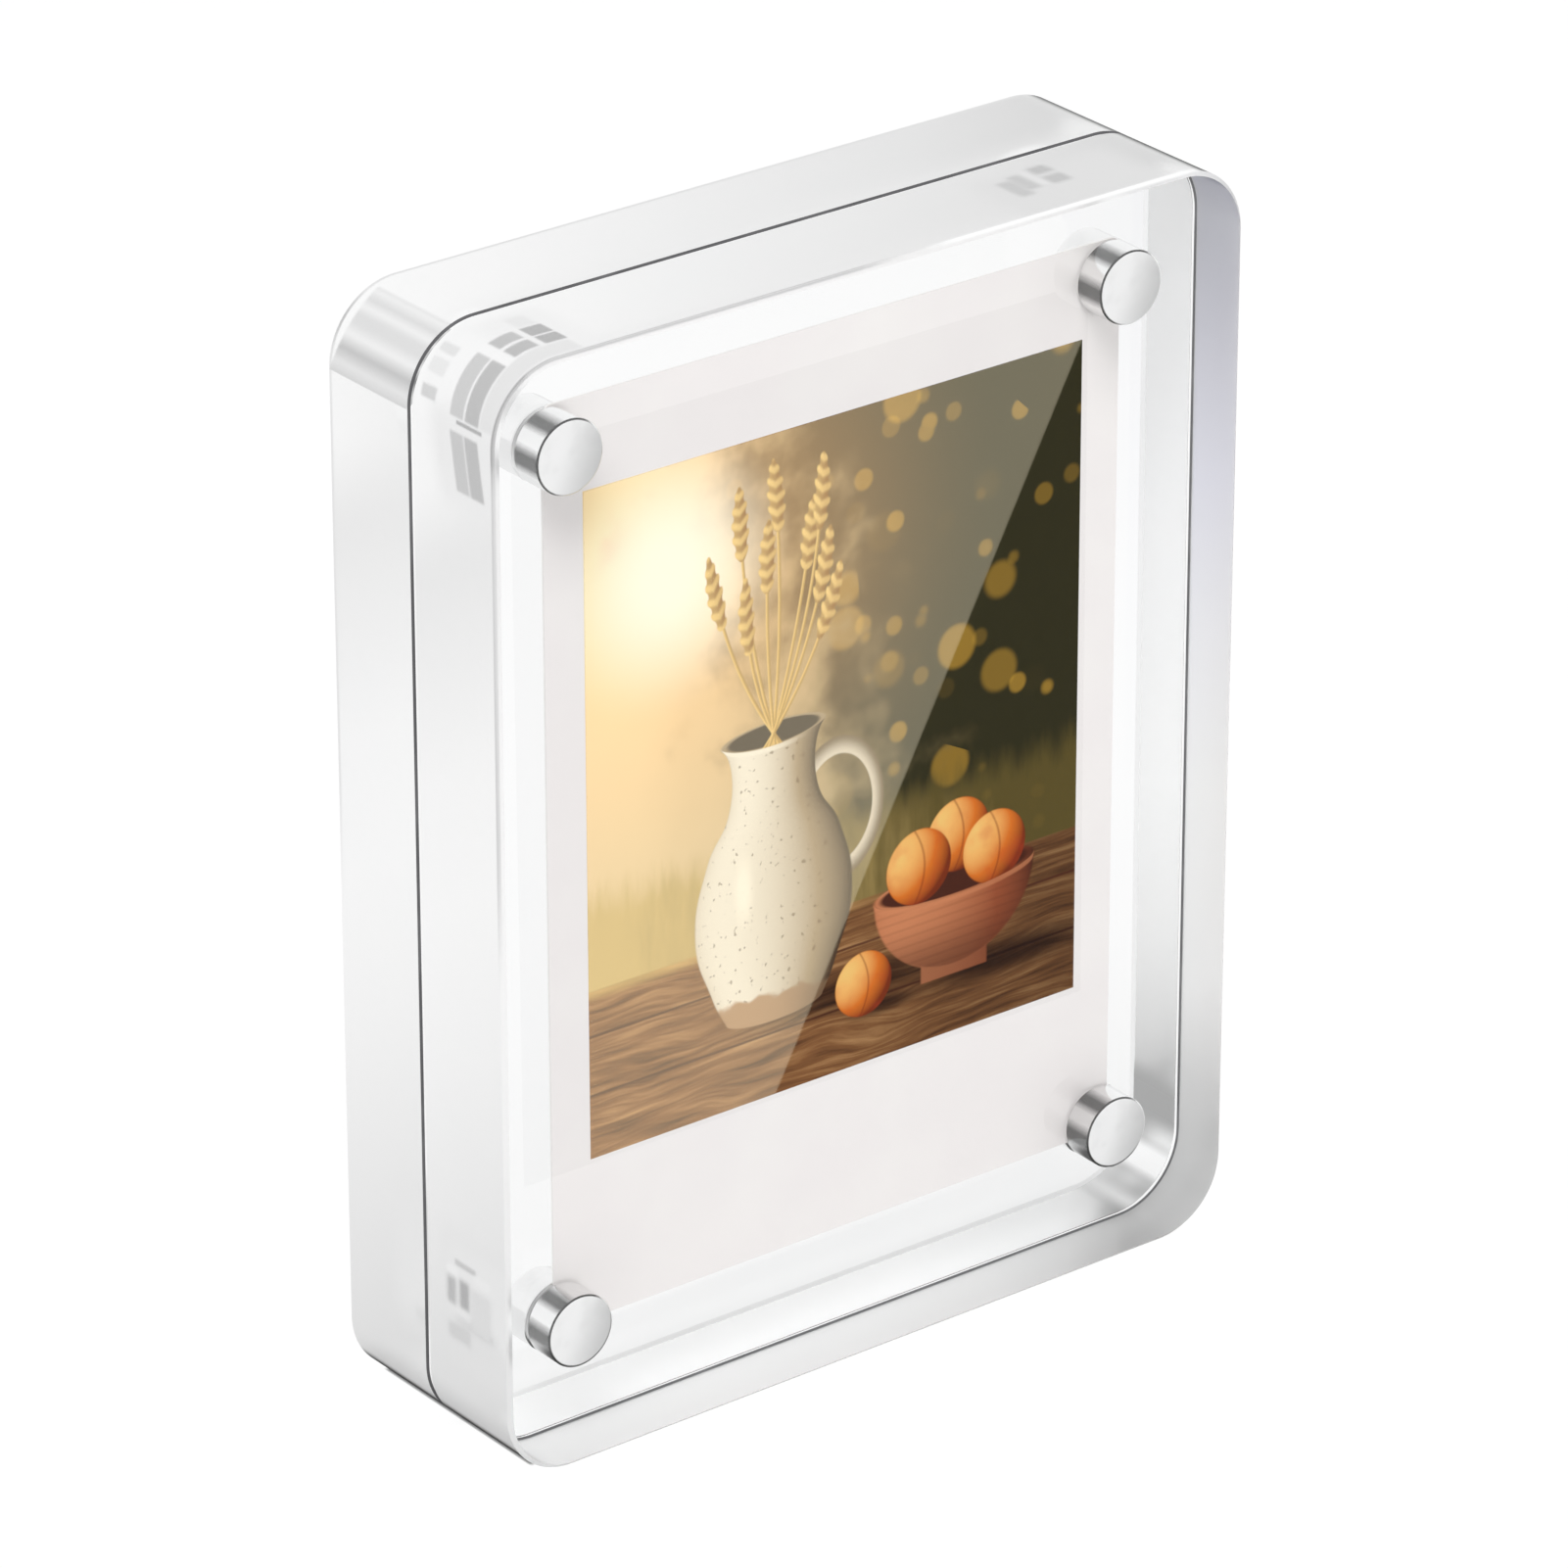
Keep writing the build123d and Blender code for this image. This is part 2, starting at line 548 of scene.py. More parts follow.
@dataclass(frozen=True)
class NickelFinish:
    """Bright nickel plating, with painted light: satin ends painted darker to one side, a painted dark rim
    and painted streaks.

    The streaks are painted reflections, tones at angles in degrees above the left.
    A facing is how far the normal lies along the axis.
    """

    name: str = "nickel_plating"
    end_painted_light: Colour = grey(0.97)
    end_painted_shade: Colour = grey(0.6)
    rim_painted_shade: Colour = grey(0.09)
    streaks: tuple[Span, ...] = (
        (-60.0, 0.8), (-24.0, 0.95), (-8.0, 0.12), (8.0, 0.16), (24.0, 0.95), (42.0, 0.92), (54.0, 0.16),
        (66.0, 0.14), (84.0, 0.9), (110.0, 0.97))
    end_slope: float = -0.45
    end_span: Span = (-1.75 * MM, 4.375 * MM)
    end_facing: Span = (0.7, 0.9)
    rim_side: Span = (0.05, 0.3)
    rim_end: Span = (0.98, 0.8)
    rim_rise: float = 0.6
    rim_lean: Span = (-0.3, 0.1)
    worn: float = 0.94
    end_roughness: float = 0.3
    side_roughness: float = 0.12
    smudge_scale: float = 260.0
    hairline_scale: float = 5200.0
    hairline_relief: float = 0.04
    hairline_depth: float = 0.01 * MM

    def side_painted_reflections(self, graph: Graph, axes: Values) -> Value:
        """Return the tone of the side, with soft dark streaks of painted reflection.

        Args:
            graph: The material's graph.
            axes: The place in the magnet's own frame.

        Returns:
            The colour.
        """
        angle = graph.math("ARCTAN2", axes["Z"], axes["X"] * -1.0)
        places = [(0.5 + math.radians(turn) / FULL_TURN, grey(level)) for turn, level in self.streaks]
        return graph.ramp(angle.evenly(-math.pi, math.pi), places)

    def end_painted_gradient(self, graph: Graph, axes: Values) -> Value:
        """Return the tone of an end, with painted light: lighter towards the upper left."""
        slope = axes["X"] + axes["Z"] * self.end_slope
        return graph.mix(slope.eased(*self.end_span), self.end_painted_light, self.end_painted_shade)

    def material(self, effects: Effects) -> Material:
        """Build the material, in the magnet's own frame with its axis along Y.

        Args:
            effects: The shared shader groups.

        Returns:
            The material.
        """
        material, graph, out = new_material(self.name)
        marks = effects.marks(graph, self.smudge_scale, self.hairline_scale)
        axes, normal = graph.split(), graph.split("Normal")
        facing = abs(normal["Y"])
        end = facing.eased(*self.end_facing)
        # Painted shade: a dark rim round each end, on its upper left side only
        lean = normal["Z"] * self.rim_rise - normal["X"]
        rim = facing.eased(*self.rim_side) * facing.eased(*self.rim_end) * lean.eased(*self.rim_lean)
        colour = graph.mix(end, self.side_painted_reflections(graph, axes), self.end_painted_gradient(graph, axes))
        colour = graph.mix(rim, colour, self.rim_painted_shade)
        wear = graph.even(marks["Smudge"].eased(0.0, 1.0, 1.0, self.worn))
        graph.show(out, graph.node("ShaderNodeBsdfPrincipled", {
            "Base Color": graph.mix(1.0, colour, wear, Blend.MULTIPLY),
            "Roughness": end.eased(0.0, 1.0, self.side_roughness, self.end_roughness),
            "Metallic": 1.0,
            "Normal": graph.relief(marks["Hairline"], self.hairline_relief, self.hairline_depth)}))
        return material


@dataclass(frozen=True)
class PaperFinish:
    """A white paper sheet with fibres."""

    name: str
    sheet: Colour
    cloud: Colour
    roughness: float
    relief: float
    relief_depth: float = 0.02 * MM
    cloud_span: Span = (0.35, 0.75)
    fibre_span: Span = (0.3, 0.7)
    unevenness: float = 0.06
    fibre_scale: float = 2600.0
    cloud_scale: float = 90.0

    def material(self, effects: Effects) -> Material:
        """Build the material.

        Args:
            effects: The shared shader groups.

        Returns:
            The material.
        """
        material, graph, out = new_material(self.name)
        paper = effects.paper(graph, self.fibre_scale, self.cloud_scale)
        graph.show(out, graph.node("ShaderNodeBsdfPrincipled", {
            "Base Color": graph.mix(paper["Cloud"].eased(*self.cloud_span), self.sheet, self.cloud),
            "Roughness": paper["Fibre"].eased(*self.fibre_span, self.roughness - self.unevenness,
                                              self.roughness + self.unevenness),
            "Normal": graph.relief(paper["Fibre"], self.relief, self.relief_depth)}))
        return material


class Scenery(Enum):
    """Colours of the painted still life."""

    HAZE = tone(224, 197, 150)
    DUSK = tone(88, 74, 38)
    TREES = tone(46, 43, 20)
    LEAF_LIGHT = tone(176, 134, 44)
    SUN = tone(255, 244, 220)
    SUN_RING = tone(150, 104, 52)
    MEADOW = tone(206, 176, 108)
    MEADOW_SHADE = tone(96, 82, 38)
    WOOD_DARK = tone(84, 50, 28)
    WOOD = tone(142, 95, 56)
    WOOD_LIGHT = tone(190, 143, 94)
    SHADOW = tone(92, 66, 52)
    STONEWARE_DARK = tone(78, 60, 44)
    STONEWARE = tone(166, 143, 112)
    STONEWARE_LIGHT = tone(243, 232, 210)
    CLAY = tone(190, 150, 112)
    SPECKLE = tone(110, 84, 60)
    INSIDE = tone(58, 42, 30)
    STRAW = tone(172, 131, 64)
    EAR_DARK = tone(146, 98, 38)
    EAR_LIGHT = tone(234, 196, 120)
    TERRACOTTA_DARK = tone(74, 34, 20)
    TERRACOTTA = tone(150, 78, 48)
    TERRACOTTA_LIGHT = tone(208, 134, 92)
    FRUIT_DARK = tone(120, 46, 16)
    FRUIT = tone(216, 114, 36)
    FRUIT_LIGHT = tone(252, 198, 116)
    BLUSH = tone(196, 62, 34)


class Painter(Graph):
    """Paints shapes over each other on the image sheet, in millimetres from its lower left corner."""

    def __init__(self, tree: NodeTree, corner: Vector) -> None:
        """Set up the place on the sheet.

        Args:
            tree: The material's node tree.
            corner: The sheet's lower left corner.
        """
        super().__init__(tree)
        axes = self.split()
        self.x = (axes["X"] - corner.x) / MM
        self.z = (axes["Z"] - corner.z) / MM
        self.point = self.value("ShaderNodeCombineXYZ", {0: self.x, 2: self.z})
        self.colour: Source = grey(0.0)

    def lay(self, mask: Source, colour: Source, blend: Blend = Blend.MIX) -> None:
        """Lay a colour over what is painted, where the mask is 1."""
        self.colour = self.mix(mask, self.colour, colour, blend)

    def away(self, x: float, z: float, wide: float = 1.0, high: float = 1.0) -> Value:
        """Return the distance from a place, as a share of an ellipse's half width and half height."""
        return self.length((self.x - x) / wide, (self.z - z) / high)

    def bulge(self, across: Value) -> Value:
        """Return how far a round form comes forward, from 1 in its middle to 0 at its edge."""
        return self.math("SQRT", self.math("SUBTRACT", 1.0, across * across, clamp=True))

    def round_light(self, across: Value, left: float, forward: float) -> Value:
        """Return the light on an upright round form, from the left and from the front."""
        return across * -left + self.bulge(across) * forward

    def shaded(self, light: Source, shades: Sequence[Scenery],
               places: Sequence[float] = (0.0, 0.5, 1.0)) -> Value:
        """Return a colour that goes through three shades, from the dark one to the light one."""
        return self.ramp(light, [(place, shade.value) for place, shade in zip(places, shades)])


@dataclass(frozen=True)
class Garden:
    """The blurred evening garden behind the table."""

    haze_scale: float = 0.06
    haze_drift: float = 18.0
    haze_span: Span = (10.0, 58.0)
    leaf_scale: float = 0.15
    crown_right: float = 0.019
    crown_up: float = 0.007
    crown_span: Span = (1.02, 1.46)
    spots: tuple[Span, ...] = ((0.17, 0.36), (0.29, 0.3))
    spot_soft: float = 0.06
    spot_chance: Span = (0.45, 1.0)
    spot_light: float = 0.62
    sun: Span = (9.0, 54.0)
    sun_span: Span = (14.4, 1.8)
    glow_radius: float = 38.0
    blade_stretch: tuple[float, float, float] = (0.5, 1.0, 0.09)
    blade_height: float = 6.0
    blade_drift: float = 30.0
    meadow_top: float = 22.0
    meadow_span: Span = (14.0, 62.0)
    meadow_soft: float = 2.2
    meadow_share: float = 0.85

    def paint_trees(self, painter: Painter) -> None:
        """Paint the dark trees on the right and the spots of light between their leaves.

        Args:
            painter: The picture's painter.
        """
        leaf = painter.noise(painter.point, self.leaf_scale, detail=3.0, rough=0.55)
        crown = leaf + painter.x * self.crown_right + painter.z * self.crown_up
        trees = crown.eased(*self.crown_span)
        painter.lay(trees, Scenery.TREES)
        for scale, size in self.spots:
            inputs = {"Vector": painter.point, "Scale": scale}
            cells = painter.values(painter.node("ShaderNodeTexVoronoi", inputs))
            chance = painter.value("ShaderNodeSeparateColor", {0: cells["Color"]})
            spot = cells["Distance"].under(size, self.spot_soft)
            lit = chance.eased(*self.spot_chance, 0.0, self.spot_light)
            painter.lay(spot * lit * trees, Scenery.LEAF_LIGHT, Blend.ADD)

    def paint(self, painter: Painter) -> None:
        """Paint the haze, the trees, the sun and the meadow.

        Args:
            painter: The picture's painter.
        """
        drift = painter.noise(painter.point, self.haze_scale)
        side = painter.x + drift * self.haze_drift
        painter.colour = painter.mix(side.eased(*self.haze_span), Scenery.HAZE, Scenery.DUSK)
        self.paint_trees(painter)
        reach = painter.away(*self.sun)
        painter.lay(reach.eased(self.glow_radius, 0.0), Scenery.SUN_RING, Blend.ADD)
        painter.lay(reach.eased(*self.sun_span), Scenery.SUN)
        place = painter.stretched(painter.point, self.blade_stretch)
        blade = painter.noise(place, 1.0, detail=3.0, rough=0.6)
        shade = (painter.x + blade * self.blade_drift).eased(*self.meadow_span)
        meadow = painter.mix(shade, Scenery.MEADOW, Scenery.MEADOW_SHADE)
        grass = painter.z.under(blade * self.blade_height + self.meadow_top, self.meadow_soft)
        painter.lay(grass * self.meadow_share, meadow)


@dataclass(frozen=True)
class Table:
    """The wooden table top, with boards that run across the picture."""

    back_edge: float = 16.4
    back_soft: float = 0.1
    board_edges: tuple[float, ...] = (12.0, 6.2)
    wave_stretch: tuple[float, float, float] = (0.05, 1.0, 0.16)
    wave_height: float = 5.0
    grain_length: float = 0.055
    grain_scale: float = 1.5
    grain_places: tuple[float, float, float] = (0.3, 0.5, 0.72)
    dim_span: Span = (4.0, 60.0)
    dimmest: float = 0.5
    gap_half: float = 0.12
    gap_soft: float = 0.08
    gap_share: float = 0.8
    lip: float = 1.35
    lip_span: Span = (44.0, 2.0)
    lip_share: float = 0.55

    def boards(self, painter: Painter) -> Value:
        """Return the colour of the boards, darker to the right.

        Args:
            painter: The picture's painter.

        Returns:
            The colour.
        """
        wave = painter.noise(painter.stretched(painter.point, self.wave_stretch), 1.0)
        place = painter.value("ShaderNodeCombineXYZ", {
            0: painter.x * self.grain_length, 2: painter.z + wave * self.wave_height})
        grain = painter.noise(place, self.grain_scale, detail=5.0, rough=0.6)
        wood = painter.shaded(grain, (Scenery.WOOD_DARK, Scenery.WOOD, Scenery.WOOD_LIGHT), self.grain_places)
        dim = painter.x.eased(*self.dim_span, 1.0, self.dimmest)
        return painter.mix(1.0, wood, painter.even(dim), Blend.MULTIPLY)

    def paint(self, painter: Painter) -> None:
        """Paint the boards, the gaps between them and the lit back edge.

        Args:
            painter: The picture's painter.
        """
        top = painter.z.under(self.back_edge, self.back_soft)
        painter.lay(top, self.boards(painter))
        for edge in self.board_edges:
            gap = painter.z.near(edge, self.gap_half, self.gap_soft)
            painter.lay(gap * self.gap_share, Scenery.TERRACOTTA_DARK)
        lip = painter.z.eased(self.back_edge - self.lip, self.back_edge)
        lit = top * lip * painter.x.eased(*self.lip_span)
        painter.lay(lit * self.lip_share, Scenery.EAR_LIGHT)


@dataclass(frozen=True)
class Shadow:
    """One soft shadow on the table: its middle, its half width and its half height."""

    x: float
    z: float
    wide: float
    high: float
    edge: Span = (1.15, 0.25)
    share: float = 0.85

    def paint(self, painter: Painter) -> None:
        """Paint the shadow over what lies there."""
        dark = painter.away(self.x, self.z, self.wide, self.high).eased(*self.edge)
        painter.lay(dark * self.share, Scenery.SHADOW, Blend.MULTIPLY)


@dataclass(frozen=True)
class Stem:
    """One wheat stem: its lean from upright in degrees, its length up to the ear and its bend."""

    lean: float
    reach: float
    bend: float
    stalk_half: float = 0.17
    stalk_soft: float = 0.08
    stalk_shade: float = 0.2
    tip_soft: float = 0.2
    root_span: Span = (-2.0, -1.6)
    ear: float = 7.0
    ear_half: float = 1.0
    ear_overlap: float = 0.4
    ear_outline: tuple[Span, ...] = ((0.0, 0.0), (0.16, 0.8), (0.5, 1.0), (0.82, 0.66), (1.0, 0.0))
    ear_soft: float = 0.1
    ear_start: float = 0.12
    row_pitch: float = 4.6
    row_slant: float = -2.6
    row_notch: float = 0.72
    row_light: float = 0.6
    side_light: float = 0.4
    side_reach: float = 0.8

    def paint(self, painter: Painter, root: Span) -> None:
        """Paint the stalk and its ear.

        Args:
            painter: The picture's painter.
            root: Where the stem leaves the jug.
        """
        sine, cosine = math.sin(math.radians(self.lean)), math.cos(math.radians(self.lean))
        right, up = painter.x - root[0], painter.z - root[1]
        along = right * sine + up * cosine
        off = right * cosine + up * -sine + along * along * -self.bend
        side = abs(off)
        stalk = (side.under(self.stalk_half, self.stalk_soft) * along.under(self.reach, self.tip_soft)
                 * along.eased(*self.root_span))
        shade = off.eased(-self.stalk_shade, self.stalk_shade)
        painter.lay(stalk, painter.mix(shade, Scenery.EAR_LIGHT, Scenery.STRAW))
        from_foot = along - (self.reach - self.ear_overlap)
        swell = painter.curve(painter.math("DIVIDE", from_foot, self.ear, clamp=True), self.ear_outline)
        row = painter.math("SINE", along * self.row_pitch + side * self.row_slant)
        half = row.eased(-1.0, 1.0, self.row_notch * self.ear_half, self.ear_half)
        husk = side.under(swell * half, self.ear_soft) * swell.eased(0.0, self.ear_start)
        light = (row.eased(-1.0, 1.0, 0.0, self.row_light)
                 + off.eased(self.side_reach, -self.side_reach, 0.0, self.side_light))
        painter.lay(husk, painter.mix(light, Scenery.EAR_DARK, Scenery.EAR_LIGHT))


@dataclass(frozen=True)
class Fruit:
    """One apricot: the place of its middle and its radius."""

    x: float
    z: float
    radius: float
    light: tuple[float, float, float] = (-0.62, 0.5, 0.6)
    light_span: Span = (-0.35, 1.0)
    blush_scale: float = 0.34
    blush_span: Span = (0.45, 0.75)
    blush_share: float = 0.6
    blush_depth: float = 0.55
    crease: float = 0.18
    crease_bow: float = 0.32
    crease_half: float = 0.03
    crease_soft: float = 0.035
    crease_share: float = 0.5
    edge_soft: float = 0.03

    def paint(self, painter: Painter) -> None:
        """Paint the round fruit with its light, its blush and its crease.

        Args:
            painter: The picture's painter.
        """
        across, up = (painter.x - self.x) / self.radius, (painter.z - self.z) / self.radius
        reach = painter.length(across, up)
        from_right, from_above, forward = self.light
        lit = across * from_right + up * from_above + painter.bulge(reach) * forward
        skin = painter.shaded(lit.evenly(*self.light_span),
                              (Scenery.FRUIT_DARK, Scenery.FRUIT, Scenery.FRUIT_LIGHT))
        cloud = painter.noise(painter.point, self.blush_scale)
        blush = cloud.eased(*self.blush_span, 0.0, self.blush_share)
        skin = painter.mix(blush, skin, painter.mix(self.blush_depth, skin, Scenery.BLUSH))
        bow = across + up * up * self.crease_bow
        crease = bow.near(self.crease, self.crease_half, self.crease_soft)
        skin = painter.mix(crease * self.crease_share, skin, Scenery.FRUIT_DARK)
        painter.lay(reach.under(1.0, self.edge_soft), skin)


@dataclass(frozen=True)
class Bowl:
    """The terracotta bowl and the fruit in it."""

    x: float = 41.0
    rim: float = 15.4
    half: float = 9.2
    tilt: float = 1.7
    depth: float = 8.6
    fruit: tuple[Fruit, ...] = (Fruit(41.4, 19.6, 3.6), Fruit(36.9, 17.7, 3.7), Fruit(45.6, 17.2, 3.6))
    light: Span = (0.62, 0.66)
    light_span: Span = (-0.5, 0.95)
    foot: float = 1.1
    foot_half: float = 3.8
    foot_overlap: float = 1.0
    foot_soft: float = 0.152
    foot_top_soft: float = 0.1
    foot_fade: float = 0.2
    foot_shade: float = 0.45
    mouth_soft: float = 0.04
    inside_share: float = 0.93
    inside_soft: float = 0.05
    front_soft: float = 0.08
    outline_soft: float = 0.02
    ring_pitch: float = 7.0
    ring_span: Span = (0.2, 1.0)
    ring_shade: float = 0.14
    shade_start: float = 2.5
    low_shade: float = 0.7
    lip: float = 0.5
    lip_soft: float = 0.15
    lip_light: float = 0.55

    def paint_inside(self, painter: Painter, clay: Source) -> None:
        """Paint the foot, the inside and the fruit.

        Args:
            painter: The picture's painter.
            clay: The colour of the bowl in this light.
        """
        base = self.rim - self.depth
        foot = (painter.x.near(self.x, self.foot_half, self.foot_soft)
                * painter.z.under(base + self.foot_overlap, self.foot_top_soft)
                * painter.z.eased(base - self.foot, base - self.foot + self.foot_fade))
        painter.lay(foot, painter.mix(self.foot_shade, clay, Scenery.TERRACOTTA_DARK))
        mouth = painter.away(self.x, self.rim, self.half, self.tilt)
        painter.lay(mouth.under(1.0, self.mouth_soft), clay)
        painter.lay(mouth.under(self.inside_share, self.inside_soft), Scenery.TERRACOTTA_DARK)
        for fruit in self.fruit:
            fruit.paint(painter)

    def paint(self, painter: Painter) -> None:
        """Paint the inside, then the front of the bowl and its rim.

        Args:
            painter: The picture's painter.
        """
        across = (painter.x - self.x) / self.half
        lit = painter.round_light(across, *self.light).evenly(*self.light_span)
        clay = painter.shaded(lit, (Scenery.TERRACOTTA_DARK, Scenery.TERRACOTTA, Scenery.TERRACOTTA_LIGHT))
        self.paint_inside(painter, clay)
        front = self.rim - painter.bulge(across) * self.tilt
        outline = painter.away(self.x, self.rim, self.half, self.depth)
        body = painter.z.under(front, self.front_soft) * outline.under(1.0, self.outline_soft)
        rings = painter.math("SINE", painter.z * self.ring_pitch)
        ringed = rings.eased(*self.ring_span, 0.0, self.ring_shade)
        painter.lay(body, painter.mix(ringed, clay, Scenery.TERRACOTTA_DARK))
        low = painter.z.eased(self.rim - self.shade_start, self.rim - self.depth, 0.0, self.low_shade)
        painter.lay(body * low, Scenery.TERRACOTTA_DARK)
        lip = (front - painter.z).under(self.lip, self.lip_soft)
        painter.lay(body * lip * self.lip_light, Scenery.TERRACOTTA_LIGHT)


@dataclass(frozen=True)
class Jug:
    """The glazed stoneware jug that holds the wheat."""

    x: float = 20.5
    base: float = 8.6
    height: float = 27.0
    belly: float = 8.8
    tilt: float = 1.2
    profile: tuple[Span, ...] = (
        (0.0, 0.62), (0.12, 0.8), (0.36, 1.0), (0.6, 0.84), (0.78, 0.55), (0.9, 0.53), (1.0, 0.66))
    side_soft: float = 0.015
    end_soft: float = 0.08
    light: Span = (0.62, 0.7)
    light_span: Span = (-0.4, 1.0)
    glaze_places: tuple[float, float, float] = (0.0, 0.45, 1.0)
    speckle_scale: float = 1.7
    speckle_span: Span = (0.64, 0.72)
    speckle_share: float = 0.6
    bare_shade: Span = (0.75, 0.1)
    drip_scale: float = 0.35
    drip_height: float = 0.1
    drip_soft: float = 0.012
    handle: tuple[float, float, float, float] = (27.6, 26.2, 4.6, 6.2)
    handle_half: float = 0.14
    handle_soft: float = 0.02
    handle_tone: float = 0.4
    mouth_half: float = 5.808
    mouth_soft: float = 0.04
    inside_share: float = 0.88
    inside_soft: float = 0.06
    lip: float = 0.45
    lip_soft: float = 0.12
    lip_span: Span = (0.9, -0.4)
    lip_light: float = 0.8
    gleam: tuple[float, float, float, float] = (17.1, 21.1, 1.5, 4.6)
    gleam_span: Span = (1.0, 0.2)
    gleam_light: float = 0.6
    stems: tuple[Stem, ...] = (
        Stem(-34.0, 13.0, 0.012), Stem(30.0, 12.5, -0.010), Stem(-17.0, 18.0, 0.006),
        Stem(17.0, 15.5, -0.004), Stem(-25.0, 9.0, 0.016), Stem(40.0, 9.5, -0.014),
        Stem(6.0, 19.5, -0.004), Stem(-6.0, 14.0, 0.004), Stem(24.0, 19.0, -0.008))

    def glaze(self, painter: Painter, across: Value, share: Value) -> Value:
        """Return the colour of the glazed body.

        Args:
            painter: The picture's painter.
            across: The place across the body, from -1 to 1.
            share: The place up the body, from 0 to 1.

        Returns:
            The colour.
        """
        light = painter.round_light(across, *self.light).evenly(*self.light_span)
        glaze = painter.shaded(light, (Scenery.STONEWARE_DARK, Scenery.STONEWARE, Scenery.STONEWARE_LIGHT),
                               self.glaze_places)
        fleck = painter.noise(painter.point, self.speckle_scale, detail=1.0)
        speckle = fleck.eased(*self.speckle_span, 0.0, self.speckle_share)
        glaze = painter.mix(speckle, glaze, Scenery.SPECKLE)
        shade = light.eased(0.0, 1.0, *self.bare_shade)
        bare = painter.mix(shade, Scenery.CLAY, Scenery.STONEWARE_DARK)
        drip = painter.noise(painter.point, self.drip_scale) * self.drip_height
        return painter.mix(share.under(drip, self.drip_soft), glaze, bare)

    def paint_back(self, painter: Painter) -> None:
        """Paint the handle, the mouth and the wheat.

        Args:
            painter: The picture's painter.
        """
        top = self.base + self.height
        grip = painter.away(*self.handle)
        across = grip.eased(1.0 - self.handle_half, 1.0 + self.handle_half)
        edge = painter.mix(across, Scenery.STONEWARE_LIGHT, Scenery.STONEWARE_DARK)
        painter.lay(grip.near(1.0, self.handle_half, self.handle_soft),
                    painter.mix(self.handle_tone, edge, Scenery.STONEWARE))
        mouth = painter.away(self.x, top, self.mouth_half, self.tilt)
        painter.lay(mouth.under(1.0, self.mouth_soft), Scenery.STONEWARE)
        painter.lay(mouth.under(self.inside_share, self.inside_soft), Scenery.INSIDE)
        for stem in self.stems:
            stem.paint(painter, (self.x, top))

    def paint(self, painter: Painter) -> None:
        """Paint the back of the jug and what it holds, then the body in front of it.

        Args:
            painter: The picture's painter.
        """
        self.paint_back(painter)
        share = painter.math("DIVIDE", painter.z - self.base, self.height, clamp=True)
        half = painter.curve(share, self.profile) * self.belly
        across = (painter.x - self.x) / half
        sag = painter.bulge(across) * self.tilt
        front = self.base + self.height - sag
        body = (across.near(0.0, 1.0, self.side_soft) * painter.z.under(front, self.end_soft)
                * (self.base - sag).under(painter.z, self.end_soft))
        painter.lay(body, self.glaze(painter, across, share))
        lip = body * (front - painter.z).under(self.lip, self.lip_soft) * across.eased(*self.lip_span)
        painter.lay(lip * self.lip_light, Scenery.STONEWARE_LIGHT)
        gleam = painter.away(*self.gleam).eased(*self.gleam_span)
        painter.lay(gleam * body * self.gleam_light, Scenery.SUN)


@dataclass(frozen=True)
class PictureFinish:
    """The image sheet, with a sunlit still life in evening colours, painted from its back to its front."""

    name: str = "print_image"
    layers: tuple[Union[Garden, Table, Shadow, Jug, Bowl, Fruit], ...] = (
        Garden(), Table(), Shadow(29.5, 8.0, 15.0, 2.3), Shadow(47.0, 5.9, 13.0, 2.2), Jug(), Bowl(),
        Shadow(33.0, 5.18, 4.8, 1.1), Fruit(30.6, 7.9, 3.2))
    whitest: Colour = grey(0.9)
    roughness: float = 0.42
    unevenness: float = 0.04
    cloud_span: Span = (0.3, 0.7)
    gloss: float = 0.04
    fibre_scale: float = 2600.0
    cloud_scale: float = 60.0

    def material(self, effects: Effects) -> Material:
        """Build the material.

        Args:
            effects: The shared shader groups.

        Returns:
            The material.
        """
        material, graph, out = new_material(self.name)
        painter = Painter(material.node_tree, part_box("print_image")[0])
        for layer in self.layers:
            layer.paint(painter)
        painter.lay(1.0, self.whitest, Blend.DARKEN)
        paper = effects.paper(graph, self.fibre_scale, self.cloud_scale)
        graph.show(out, graph.node("ShaderNodeBsdfPrincipled", {
            "Base Color": painter.colour,
            "Roughness": paper["Cloud"].eased(*self.cloud_span, self.roughness - self.unevenness,
                                              self.roughness + self.unevenness),
            "Specular IOR Level": self.gloss}))
        return material


class Surface(IntEnum):
    """The kinds of surface of a block, numbered as its material slots."""

    FACE = 0
    SIDE = 1
    SEAT = 2
    # Painted shade: the dark grey seam chamfers
    CUT = 3
    EASED = 4


class Corner(Enum):
    """The four magnet places, as seen from the front."""

    TOP_LEFT = "top_left"
    TOP_RIGHT = "top_right"
    BOTTOM_LEFT = "bottom_left"
    BOTTOM_RIGHT = "bottom_right"


class Half(Enum):
    """The two halves of the frame. The value is the way from the mating face into the block, along Y."""

    FRONT = -1
    BACK = 1

    @property
    def body(self) -> str:
        """Return the name of the body that this half is."""
        return self.name.lower()

    def magnet(self, corner: Corner) -> str:
        """Return the node name of one magnet of this half."""
        return f"{self.body}_magnet_{corner.value}"

    def block(self) -> Box:
        """Return the lowest and the highest corner of this half's block."""
        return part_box(f"{self.body}_block")

    def outward(self, box: Box) -> Span:
        """Return the depths of a box on the side of the mating face and on the other side."""
        low, high = box
        return (high.y, low.y) if self is Half.FRONT else (low.y, high.y)


def add_object(name: str, data: Any) -> Object:
    """Put a new object in the scene.

    Args:
        name: The object's name.
        data: Its mesh, lamp or lens.

    Returns:
        The new object.
    """
    made = bpy.data.objects.new(name, data)
    bpy.context.scene.collection.objects.link(made)
    return made


